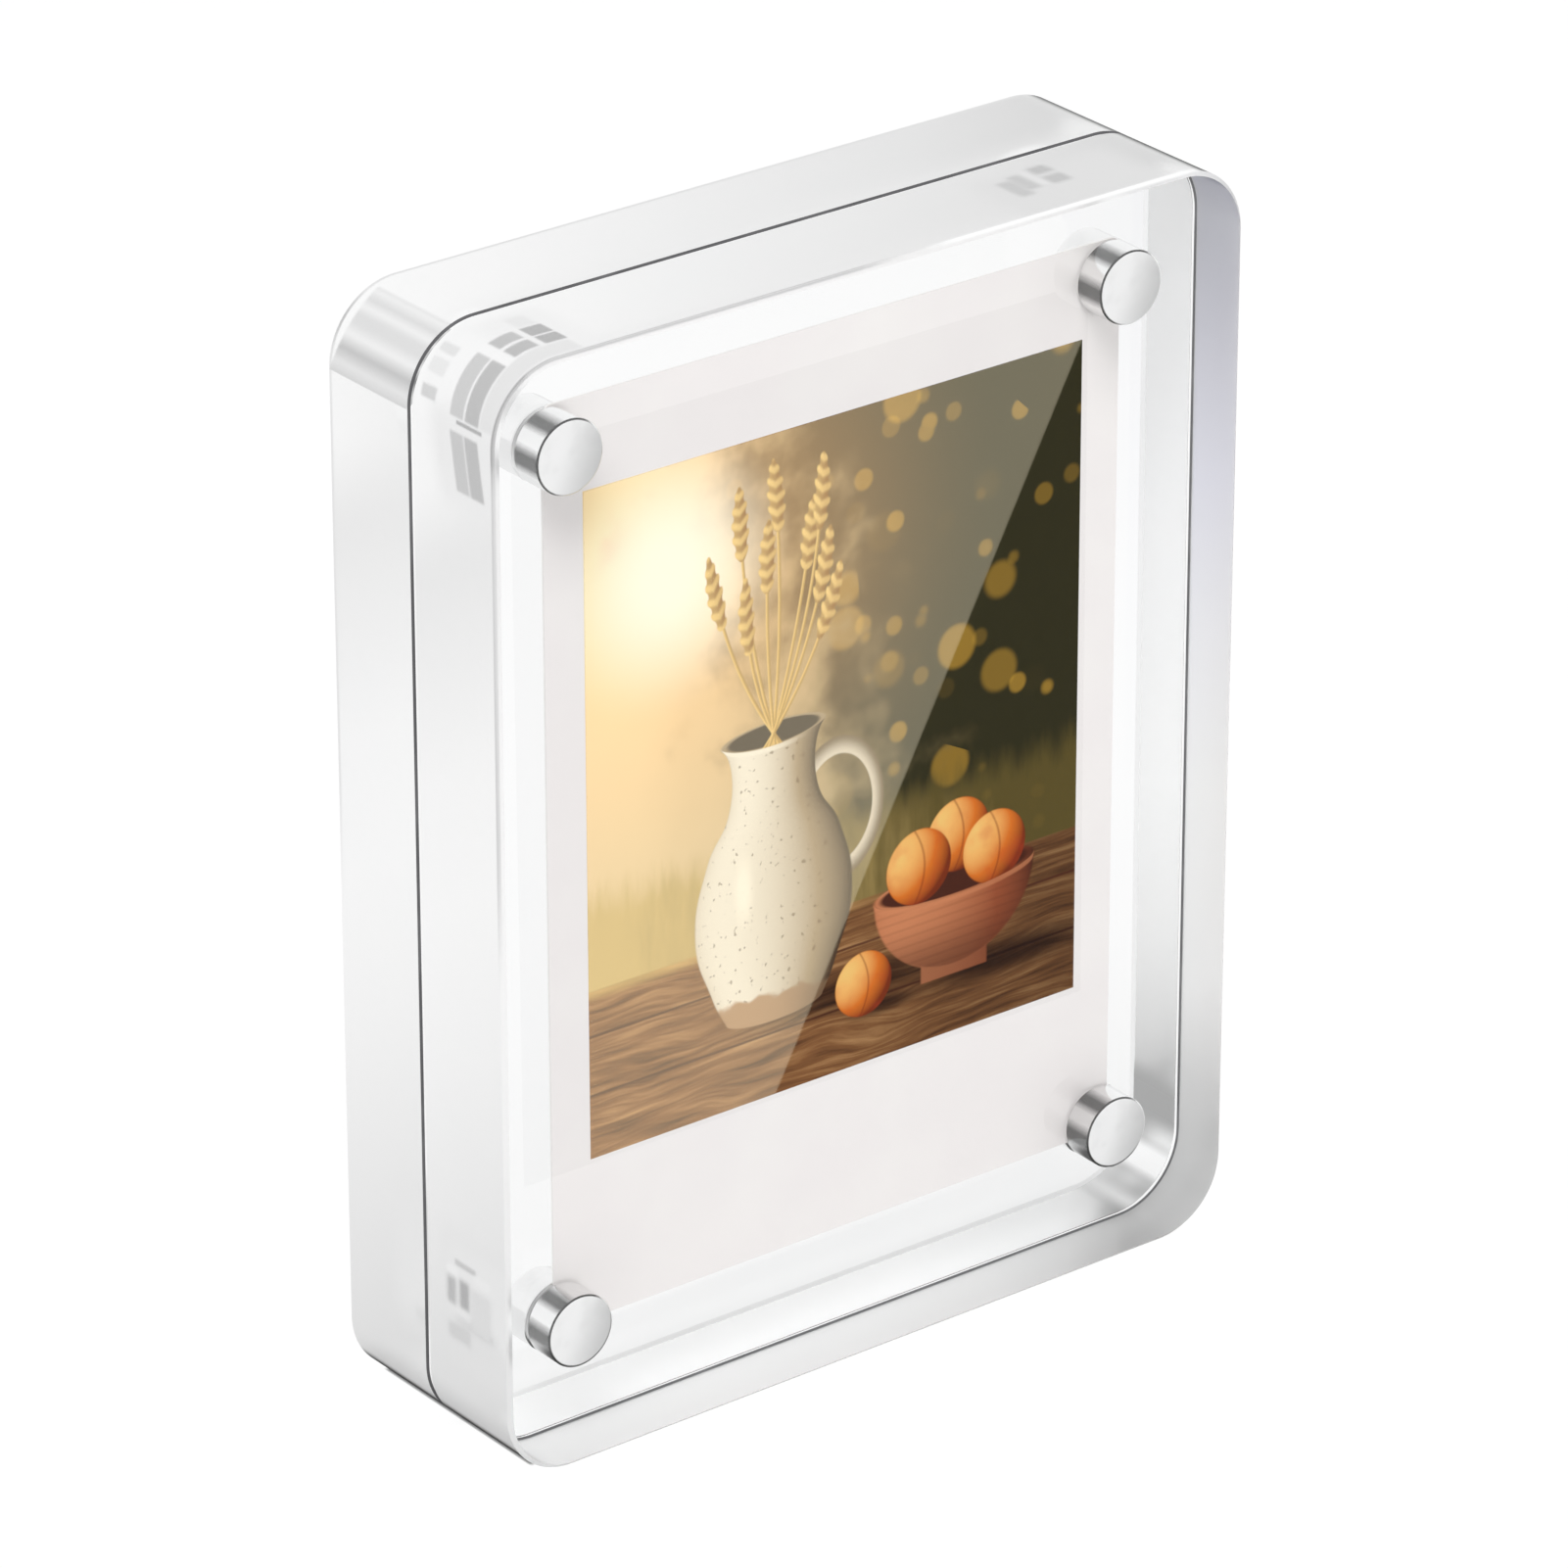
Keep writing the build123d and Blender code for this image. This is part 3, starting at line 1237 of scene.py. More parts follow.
def to_mesh(work: BMesh, name: str) -> Mesh:
    """Turn a bmesh into a mesh, and free it.

    Args:
        work: The bmesh.
        name: The mesh's name.

    Returns:
        The mesh.
    """
    mesh = bpy.data.meshes.new(name)
    work.to_mesh(mesh)
    work.free()
    return mesh


def smooth_mesh(work: BMesh, name: str, sharp_angle: float) -> Mesh:
    """Turn a bmesh into a mesh that is smooth except at its hard edges.

    Args:
        work: The bmesh, which is freed.
        name: The mesh's name.
        sharp_angle: The angle in degrees above which an edge stays hard.

    Returns:
        The mesh.
    """
    bmesh.ops.recalc_face_normals(work, faces=work.faces)
    mesh = to_mesh(work, name)
    mesh.shade_smooth()
    mesh.set_sharp_from_angle(angle=math.radians(sharp_angle))
    return mesh


def finish_piece(mesh: Mesh, body: str, node: str, place: Vector) -> Object:
    """Put a mesh in the scene as a piece of the object, with level shading on its flat faces.

    Args:
        mesh: The mesh, which gives the piece its name.
        body: The body that it moves with.
        node: The node that it stands for.
        place: Where the mesh's own origin lies.

    Returns:
        The piece.
    """
    piece = add_object(mesh.name, mesh)
    piece.location = place
    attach(piece, body)
    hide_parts(node)
    level = piece.modifiers.new("flat_faces", "WEIGHTED_NORMAL")
    level.keep_sharp = True
    level.weight = FLAT_WEIGHT
    return piece


def ring(work: BMesh, places: Sequence[Vector]) -> list[BMVert]:
    """Add one closed ring of vertices."""
    return [work.verts.new(place) for place in places]


def circle(centre: Vector, radius: float, y: float, count: int) -> list[Vector]:
    """Return points in order round a circle that faces along Y.

    Args:
        centre: Its middle, whose Y isn't used.
        radius: Its radius.
        y: Its depth.
        count: How many points it has.

    Returns:
        The points.
    """
    turns = [FULL_TURN * step / count for step in range(count)]
    return [Vector((centre.x + radius * math.cos(turn), y, centre.z + radius * math.sin(turn)))
            for turn in turns]


def bridge(work: BMesh, first: list, second: list, slot: Surface = Surface.FACE) -> None:
    """Join two rings of the same length by four-sided faces.

    Args:
        work: The bmesh.
        first: One ring.
        second: The other ring.
        slot: The material slot of the new faces.
    """
    count = len(first)
    for index in range(count):
        after = (index + 1) % count
        face = work.faces.new((first[index], first[after], second[after], second[index]))
        face.material_index = slot


@dataclass
class ClearBlock:
    """One clear block with rounded corners, chamfered edges and four blind magnet pockets."""

    half: Half
    corner_radius: float = 7.0 * MM
    edge_chamfer: float = 0.4 * MM
    seam_chamfer: float = 0.2 * MM
    pocket_clearance: float = 0.05 * MM
    corner_segments: int = 28
    pocket_segments: int = 72
    sharp_angle: float = 20.0

    def outline(self, inset: float, y: float) -> list[Vector]:
        """Return the block's outline at one depth.

        Args:
            inset: How far the outline lies inside the block's full size.
            y: The depth.

        Returns:
            The points, in order round the block.
        """
        low, high = self.half.block()
        reach = self.corner_radius - inset
        points = []
        corners = ((high.x, high.z, -1, -1), (low.x, high.z, 1, -1),
                   (low.x, low.z, 1, 1), (high.x, low.z, -1, 1))
        for quarter, (x, z, right, up) in enumerate(corners):
            for step in range(self.corner_segments + 1):
                angle = QUARTER_TURN * (quarter + step / self.corner_segments)
                points.append(Vector((x + right * self.corner_radius + reach * math.cos(angle), y,
                                      z + up * self.corner_radius + reach * math.sin(angle))))
        return points

    def pocket_rings(self, work: BMesh, seam: float) -> list[list]:
        """Add the four pockets.

        Args:
            work: The bmesh.
            seam: The depth of the mating face.

        Returns:
            The ring at the mouth of each pocket.
        """
        mouths = []
        for corner in Corner:
            low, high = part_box(self.half.magnet(corner))
            radius = (high.x - low.x) / 2 + self.pocket_clearance
            bottom = self.half.outward((low, high))[1] + self.half.value * self.pocket_clearance
            mouth, floor = (ring(work, circle((low + high) / 2, radius, y, self.pocket_segments))
                            for y in (seam, bottom))
            bridge(work, mouth, floor, Surface.SEAT)
            work.faces.new(floor).material_index = Surface.SEAT
            mouths.append(mouth)
        return mouths

    def build(self) -> Mesh:
        """Build the block's mesh.

        Returns:
            The mesh, with its faces in the slots of their kinds of surface.
        """
        seam, face = self.half.outward(self.half.block())
        inward = self.half.value
        work = bmesh.new()
        levels = ((self.edge_chamfer, face), (0.0, face - inward * self.edge_chamfer),
                  (0.0, seam + inward * self.seam_chamfer), (self.seam_chamfer, seam))
        rings = [ring(work, self.outline(inset, y)) for inset, y in levels]
        for first, second, slot in zip(rings, rings[1:], (Surface.EASED, Surface.SIDE, Surface.CUT)):
            bridge(work, first, second, slot)
        work.faces.new(rings[0])
        edges = []
        for loop in [rings[-1]] + self.pocket_rings(work, seam):
            for first, second in zip(loop, loop[1:] + loop[:1]):
                edges.append(work.edges.get((first, second)) or work.edges.new((first, second)))
        bmesh.ops.triangle_fill(work, edges=edges, use_beauty=True)
        return smooth_mesh(work, f"{self.half.body}_clear_block", self.sharp_angle)

    def dress(self, materials: Sequence[Material]) -> Object:
        """Build the block as a piece and give it its materials.

        Args:
            materials: One for each kind of surface.

        Returns:
            The piece.
        """
        mesh = self.build()
        for material in materials:
            mesh.materials.append(material)
        return finish_piece(mesh, self.half.body, f"{self.half.body}_block", Vector())


@dataclass
class MagnetSet:
    """The four disc magnets of one half."""

    half: Half
    rim_radius: float = 0.3 * MM
    rim_segments: int = 6
    round_segments: int = 96
    sharp_angle: float = 40.0

    def profile(self, radius: float, length: float) -> list[Span]:
        """Return the outline that a magnet is turned from.

        Args:
            radius: The magnet's radius.
            length: Its length.

        Returns:
            The distance from the axis and the place along it, for each point.
        """
        turns = [QUARTER_TURN * step / self.rim_segments for step in range(self.rim_segments + 1)]
        cut = self.rim_radius
        rim = [(radius - cut * (1 - math.sin(turn)), length / 2 - cut * (1 - math.cos(turn)))
               for turn in turns]
        return [(reach, -along) for reach, along in rim] + rim[::-1]

    def build(self, radius: float, length: float) -> BMesh:
        """Turn one magnet about the Y axis, centred on the origin.

        Args:
            radius: The magnet's radius.
            length: Its length along Y.

        Returns:
            The bmesh.
        """
        work = bmesh.new()
        rings = [ring(work, circle(Vector(), reach, y, self.round_segments))
                 for reach, y in self.profile(radius, length)]
        for first, second in zip(rings, rings[1:]):
            bridge(work, first, second)
        work.faces.new(rings[0])
        work.faces.new(rings[-1])
        return work

    def dress(self, nickel: Material) -> list[Object]:
        """Build the four magnets as pieces.

        Args:
            nickel: The plating.

        Returns:
            The pieces.
        """
        pieces = []
        for corner in Corner:
            node = self.half.magnet(corner)
            low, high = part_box(node)
            work = self.build((high.x - low.x) / 2, high.y - low.y)
            mesh = smooth_mesh(work, f"{node}_disc", self.sharp_angle)
            mesh.materials.append(nickel)
            pieces.append(finish_piece(mesh, self.half.body, node, (low + high) / 2))
        return pieces


@dataclass
class BorderedPrint:
    """The print between the blocks: a border sheet, an image sheet and a backing sheet."""

    border: PaperFinish = PaperFinish("print_border", tone(236, 231, 230), tone(239, 235, 233), 0.5, 0.08)
    image: PictureFinish = PictureFinish()
    backing: PaperFinish = PaperFinish("print_backing", tone(248, 247, 245), tone(245, 244, 241), 0.8, 0.2)

    def dress(self, effects: Effects) -> list[Object]:
        """Give the three sheets their materials.

        Args:
            effects: The shared shader groups.

        Returns:
            The sheets.
        """
        sheets = []
        for finish in (self.border, self.image, self.backing):
            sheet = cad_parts[finish.name]
            sheet.data.materials.clear()
            sheet.data.materials.append(finish.material(effects))
            sheets.append(sheet)
        return sheets


@dataclass
class Card:
    """A studio card that only some reflections show, as such cards give clear edges their tone.

    It moves with one half, or stands still.
    """

    name: str
    half: Optional[Half]

    @staticmethod
    def upright(y: float, low_x: float, low_z: float, high_x: float, high_z: float) -> list[Vector]:
        """Return the corners of an upright sheet that faces along Y."""
        corners = ((low_x, low_z), (high_x, low_z), (high_x, high_z), (low_x, high_z))
        return [Vector((x, y, z)) for x, z in corners]

    def place(self, sheets: Sequence[Sequence[Vector]], material: Material, inner: bool = False) -> Object:
        """Put the card in the studio.

        Args:
            sheets: The four corners of each of its sheets.
            material: Its material.
            inner: Whether rays inside the acrylic see it before a face has turned them.

        Returns:
            The card.
        """
        work = bmesh.new()
        for sheet in sheets:
            work.faces.new(ring(work, sheet))
        mesh = to_mesh(work, self.name)
        mesh.materials.append(material)
        card = add_object(self.name, mesh)
        card.visible_camera = False
        card.visible_diffuse = False
        card.visible_shadow = False
        card.visible_transmission = inner
        if self.half:
            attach(card, self.half.body)
        return card

    @staticmethod
    def guided(graph: Graph) -> Value:
        """Return 1 for rays that a face has turned back inside the acrylic."""
        return graph.turned() * graph.entered()

    @staticmethod
    def entering(graph: Graph) -> Value:
        """Return 1 for rays that have come into the acrylic and that no face has turned back."""
        return graph.entered() * (1.0 - graph.turned())

    @staticmethod
    def light(graph: Graph, out: Node, colour: Source, shown: Source, strength: float = 1.0) -> None:
        """End a card's material: a plain glow for the rays that see it, and nothing for others."""
        graph.show(out, graph.choose(shown, graph.clear(), graph.glow(colour, strength)))


@dataclass
class EdgeCard(Card):
    """A card just behind one block, grey along its right and lower edges, which the walls inside mirror.

    The tones lie at places up the right side and along the base.
    A spot in the corner shows in the rounded wall.
    """

    side_tones: Stops
    base_tones: Stops
    spot_tone: Colour
    strength: float = 1.0
    gap: float = 0.15 * MM
    reach: float = 7.0 * MM
    corner_soft: float = 4.0 * MM
    spare: float = 20.0 * MM
    spot: Span = (5.6 * MM, 4.8 * MM)
    spot_span: Span = (2.3 * MM, 1.0 * MM)

    def build(self) -> None:
        """Build the card, for rays that a wall has turned back inside the acrylic."""
        material, graph, out = new_material(self.name)
        low, high = self.half.block()
        axes = graph.split()
        x, z = axes["X"], axes["Z"]
        from_side, from_base = high.x - x, z - low.z
        side = graph.ramp(z.evenly(low.z, high.z), self.side_tones)
        base = graph.ramp(x.evenly(low.x, high.x), self.base_tones)
        lean = (from_base - from_side).eased(-self.corner_soft, self.corner_soft)
        away = graph.length(from_side - self.spot[0], from_base - self.spot[1])
        colour = graph.mix(away.eased(*self.spot_span), graph.mix(lean, base, side), self.spot_tone)
        self.light(graph, out, colour, self.guided(graph), self.strength)
        y, inner_x = high.y + self.gap, high.x - self.reach
        self.place([self.upright(y, inner_x, low.z, high.x + self.spare, high.z + self.spare),
                    self.upright(y, low.x, low.z, inner_x, low.z + self.reach)], material)


@dataclass
class GuideCard(Card):
    """A card just inside the face that turns back the light which came in through the left or the top side.

    It stands for the light that the block guides from its other sides, so it shows only to rays that the
    block would go on guiding, or almost. The tones lie at places up the left side and along the top.
    """

    gap: float = 0.05 * MM
    slant_share: float = 0.98
    left_tones: Stops = greys(
        (0.0, 190), (0.18, 216), (0.34, 236), (0.48, 245), (0.6, 243), (0.78, 219), (1.0, 206))
    top_tones: Stops = greys((0.0, 246), (0.22, 236), (0.5, 217), (0.77, 198), (1.0, 163))
    top_span: Span = (0.78, 0.88)

    def build(self) -> None:
        """Build the card."""
        material, graph, out = new_material(self.name)
        low, high = self.half.block()
        axes = graph.split()
        across, up = axes["X"].evenly(low.x, high.x), axes["Z"].evenly(low.z, high.z)
        left, top = graph.ramp(up, self.left_tones), graph.ramp(across, self.top_tones)
        goes_on = graph.slant() > self.slant_share * GUIDED_SLANT
        self.light(graph, out, graph.mix(up.eased(*self.top_span), left, top), self.guided(graph) * goes_on)
        self.place([self.upright(high.y - self.gap, low.x, low.z, high.x, high.z)], material)


@dataclass
class StreakCard(Card):
    """A slanted card inside the rounded upper left corner of the back block.

    It carries the streaks that the corner draws out of the magnet behind it.
    The tones lie at places from the lower end of the rounding to its upper end.
    """

    name: str = "streak_card"
    half: Optional[Half] = Half.BACK
    rounding: float = 7.0 * MM
    inset: float = 0.1 * MM
    trim: float = 0.4 * MM
    upper_end: float = 0.785
    soft: float = 0.012
    tones: Stops = greys(
        (0.0, 174), (0.12, 208), (0.245, 121), (0.36, 228), (0.45, 188), (0.53, 188), (0.59, 228),
        (0.66, 181), (0.74, 224), (0.77, 206))

    def build(self) -> None:
        """Build the card, for rays that have just come in through the rounding."""
        material, graph, out = new_material(self.name)
        low, high = self.half.block()
        foot = Vector((low.x + self.inset, 0.0, high.z - self.rounding - self.inset))
        head = foot + Vector((self.rounding, 0.0, self.rounding))
        along = graph.split()["X"].evenly(foot.x, head.x)
        drawn = along.eased(self.upper_end + self.soft, self.upper_end - self.soft)
        self.light(graph, out, graph.ramp(along, self.tones), self.entering(graph) * drawn)
        near, far = Vector((0.0, low.y + self.trim, 0.0)), Vector((0.0, high.y - self.trim, 0.0))
        self.place([(foot + near, head + near, head + far, foot + far)], material, inner=True)


@dataclass(frozen=True)
class Patch:
    """One patch of tone on a ghost card, in millimetres round the outline and in depth from the seam."""

    low: float
    high: float
    near: float
    far: float
    level: float
    soft: float = 0.12
    fade: float = 0.0

    def mask(self, way: Value, depth: Value) -> Value:
        """Return a mask that is 1 in the patch, with soft edges and ends that may fade further.

        Args:
            way: The way round the outline.
            depth: The depth from the seam.

        Returns:
            The mask.
        """
        fade = max(self.soft, self.fade)
        return (way.eased(self.low - fade, self.low + fade) * way.eased(self.high + fade, self.high - fade)
                * depth.eased(self.near - self.soft, self.near + self.soft)
                * depth.eased(self.far + self.soft, self.far - self.soft))


@dataclass
class GhostCard(Card):
    """A card just inside the sides of a block, with the ghosts and the lines of light that they show.

    The way round the outline is the height on the left side, and goes on round the corner and over the top.
    A flipped card is turned half round, so that it starts down the right side instead.
    The patches lie over each other, and bend to the face away from one place on the way.
    An outer card is made of slats that lean to the front, so that it shows from that side alone.
    Depths, ways and the slats are in millimetres.
    """

    low: float
    high: float
    patches: Sequence[Patch]
    outer: bool = True
    flipped: bool = False
    bow: float = 0.0
    bow_peak: float = 0.0
    rounding: float = 7.0
    inset: float = 0.1
    seam_trim: float = 0.3
    face_trim: float = 0.42
    step: float = 0.4
    slat_pitch: float = 0.45
    slat_lean: float = math.radians(20.0)
    ray_slope: float = 0.58
    side_drift: float = 0.347
    top_drift: float = -0.469
    block: Box = field(init=False)

    def __post_init__(self) -> None:
        """Look up the block's corners once, in metres."""
        self.block = self.half.block()

    def slats(self, thickness: float) -> list[tuple[tuple[float, float, float], ...]]:
        """Return the outer and the inner edge of each slat.

        Args:
            thickness: The thickness of the block.

        Returns:
            The depth from the seam, the sink below the side and the depth that it shows, for each edge.
        """
        low = max(min(patch.near - patch.soft for patch in self.patches), self.seam_trim)
        high = min(max(patch.far + patch.soft for patch in self.patches), thickness - self.face_trim)
        if not self.outer:
            return [((low, 0.0, low), (high, 0.0, high))]
        count = math.ceil((high - low) / self.slat_pitch)
        pitch = (high - low) / count
        lean, sink = math.sin(self.slat_lean), math.cos(self.slat_lean)
        width = pitch / (lean + self.ray_slope * sink)
        start = low if self.half is Half.FRONT else low + pitch
        depths = [start + index * pitch for index in range(count)]
        ahead = -self.half.value
        return [((depth, 0.0, depth), (depth + ahead * width * lean, width * sink, depth + ahead * pitch))
                for depth in depths]

    def point(self, way: float, depth: float, sink: float) -> Vector:
        """Return a place on the card.

        Args:
            way: The way round the outline.
            depth: The depth from the seam.
            sink: How far it lies below the card.

        Returns:
            The place, in metres.
        """
        low, high = (corner / MM for corner in self.block)
        y = self.half.outward((low, high))[0] + self.half.value * depth
        centre = Vector((low.x + self.rounding, y, high.z - self.rounding))
        reach = self.rounding - self.inset - sink
        turn = (way - centre.z) / self.rounding
        place = centre + Vector((-math.cos(turn), 0.0, math.sin(turn))) * reach
        if turn < 0.0:
            place = Vector((centre.x - reach, y, way))
        elif turn > QUARTER_TURN:
            place = centre + Vector(((turn - QUARTER_TURN) * self.rounding, 0.0, reach))
        if self.flipped:
            place = Vector((low.x + high.x - place.x, y, low.z + high.z - place.z))
        return place * MM

    def drift(self, way: float) -> float:
        """Return how far rays come along the way for each millimetre that they go in.

        Args:
            way: The way round the outline.

        Returns:
            The drift, which changes evenly round the corner.
        """
        corner = self.block[1].z / MM - self.rounding
        turned = min(max((way - corner) / (self.rounding * QUARTER_TURN), 0.0), 1.0)
        return self.side_drift + (self.top_drift - self.side_drift) * turned

    def material(self) -> Material:
        """Build the material, for rays that come in through the side or that meet the card from inside.

        Returns:
            The material.
        """
        material, graph, out = new_material(self.name)
        way, depth = (graph.value("ShaderNodeAttribute", output="Fac", attribute_name=label)
                      for label in ("way", "depth"))
        off = way - self.bow_peak
        masks = [patch.mask(way, depth - off * off * self.bow) for patch in self.patches]
        colour: Source = screen(self.patches[0].level)
        for patch, mask in zip(self.patches, masks):
            colour = graph.mix(mask, colour, screen(patch.level))
        ahead = 1.0 - graph.value("ShaderNodeNewGeometry", output="Backfacing")
        self.light(graph, out, colour, graph.largest(*masks) * self.entering(graph) * ahead)
        return material

    def build(self) -> None:
        """Build the card, whose points carry the way and the depth that they show."""
        count = math.ceil((self.high - self.low) / self.step)
        ways = [self.low + (self.high - self.low) * index / count for index in range(count + 1)]
        slats = self.slats((self.block[1].y - self.block[0].y) / MM)
        sheets: list[list[Vector]] = []
        marks: dict[str, list[float]] = {"way": [], "depth": []}
        for first, second in zip(ways, ways[1:]):
            for outer, inner in slats:
                edges = ((first, outer), (first, inner), (second, inner), (second, outer))
                sheets.append([self.point(way, depth, sink) for way, (depth, sink, _) in edges])
                marks["way"] += [way + self.drift(way) * sink for way, (_, sink, _) in edges]
                marks["depth"] += [shows for _, (_, _, shows) in edges]
        card = self.place(sheets, self.material(), inner=True)
        for label, values in marks.items():
            card.data.attributes.new(label, "FLOAT", "POINT").data.foreach_set("value", values)


@dataclass
class ContactCard(Card):
    """A dark sheet on the floor under a block, where hardly any light comes in. Only the camera sees it."""

    level: float
    share: float
    drop: float
    edge: float
    reach: float = 36.7 * MM
    soft: float = 0.4 * MM
    lift: float = 0.01 * MM

    def build(self) -> None:
        """Build the sheet, from the seam to its soft edge."""
        material, graph, out = new_material(self.name)
        axes = graph.split()
        from_middle, from_seam = abs(axes["X"]), axes["Y"] * self.half.value
        shown = (from_middle.eased(self.reach + self.soft, self.reach)
                 * from_seam.eased(self.edge + self.soft, self.edge - self.soft))
        dark = graph.both(graph.matt(self.share), graph.glow(grey(self.level)))
        graph.show(out, graph.choose(shown, graph.clear(), dark))
        end = self.half.value * (self.edge + self.soft)
        side, z = self.reach + self.soft, self.lift - self.drop
        corners = ((-side, 0.0), (side, 0.0), (side, end), (-side, end))
        card = self.place([[Vector((x, y, z)) for x, y in corners]], material)
        card.visible_camera = True
        card.visible_glossy = False


@dataclass
class GlareCard(Card):
    """A card before the picture, which the front face mirrors: bright on the left of a slanted line.

    The faces inside mirror only dark card, which reaches further right and down for their slanted view.
    """

    name: str = "glare_card"
    half: Optional[Half] = Half.FRONT
    gap: float = 6.5 * MM
    inner_right: float = 9.0 * MM
    inner_down: float = 7.0 * MM
    inner_slant: float = 0.2
    line_span: Span = (0.375, 1.0)
    line_soft: float = 0.004
    strength: float = 3.25
    bright: Colour = (1.0, 0.91, 0.66, 1.0)
    dark: Colour = grey(0.018)

    def build(self) -> None:
        """Build the card for reflections."""
        material, graph, out = new_material(self.name)
        low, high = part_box("print_image")
        axes = graph.split()
        x, z = axes["X"], axes["Z"]
        line = z.evenly(low.z, high.z, *self.line_span)
        left = (x.evenly(low.x, high.x) - line).eased(self.line_soft, -self.line_soft)
        inside = graph.entered()
        outside = 1.0 - inside
        leaving = inside * (graph.slant() < self.inner_slant)
        seen = graph.largest(leaving, outside * ((x < high.x) * (z > low.z)))
        colour = graph.mix(left * outside, self.dark, self.bright)
        self.light(graph, out, colour, graph.ray(Ray.GLOSSY) * seen, self.strength)
        y = self.half.block()[0].y - self.gap
        sheet = self.upright(y, low.x, low.z - self.inner_down, high.x + self.inner_right, high.z)
        self.place([sheet], material)


@dataclass
class FlagCard(Card):
    """A dark card behind the right side, which the rounded edges mirror at a grazing angle as a thin line."""

    name: str = "flag_card"
    half: Optional[Half] = None
    shade: Colour = grey(0.02)
    low: Span = (40.0 * MM, 0.0)
    high: Span = (200.0 * MM, 95.0 * MM)
    depth: float = 60.0 * MM

    def build(self) -> None:
        """Build the card, for reflections on the outside only."""
        material, graph, out = new_material(self.name)
        self.light(graph, out, self.shade, graph.ray(Ray.GLOSSY) * (1.0 - graph.entered()))
        self.place([self.upright(self.depth, *self.low, *self.high)], material)


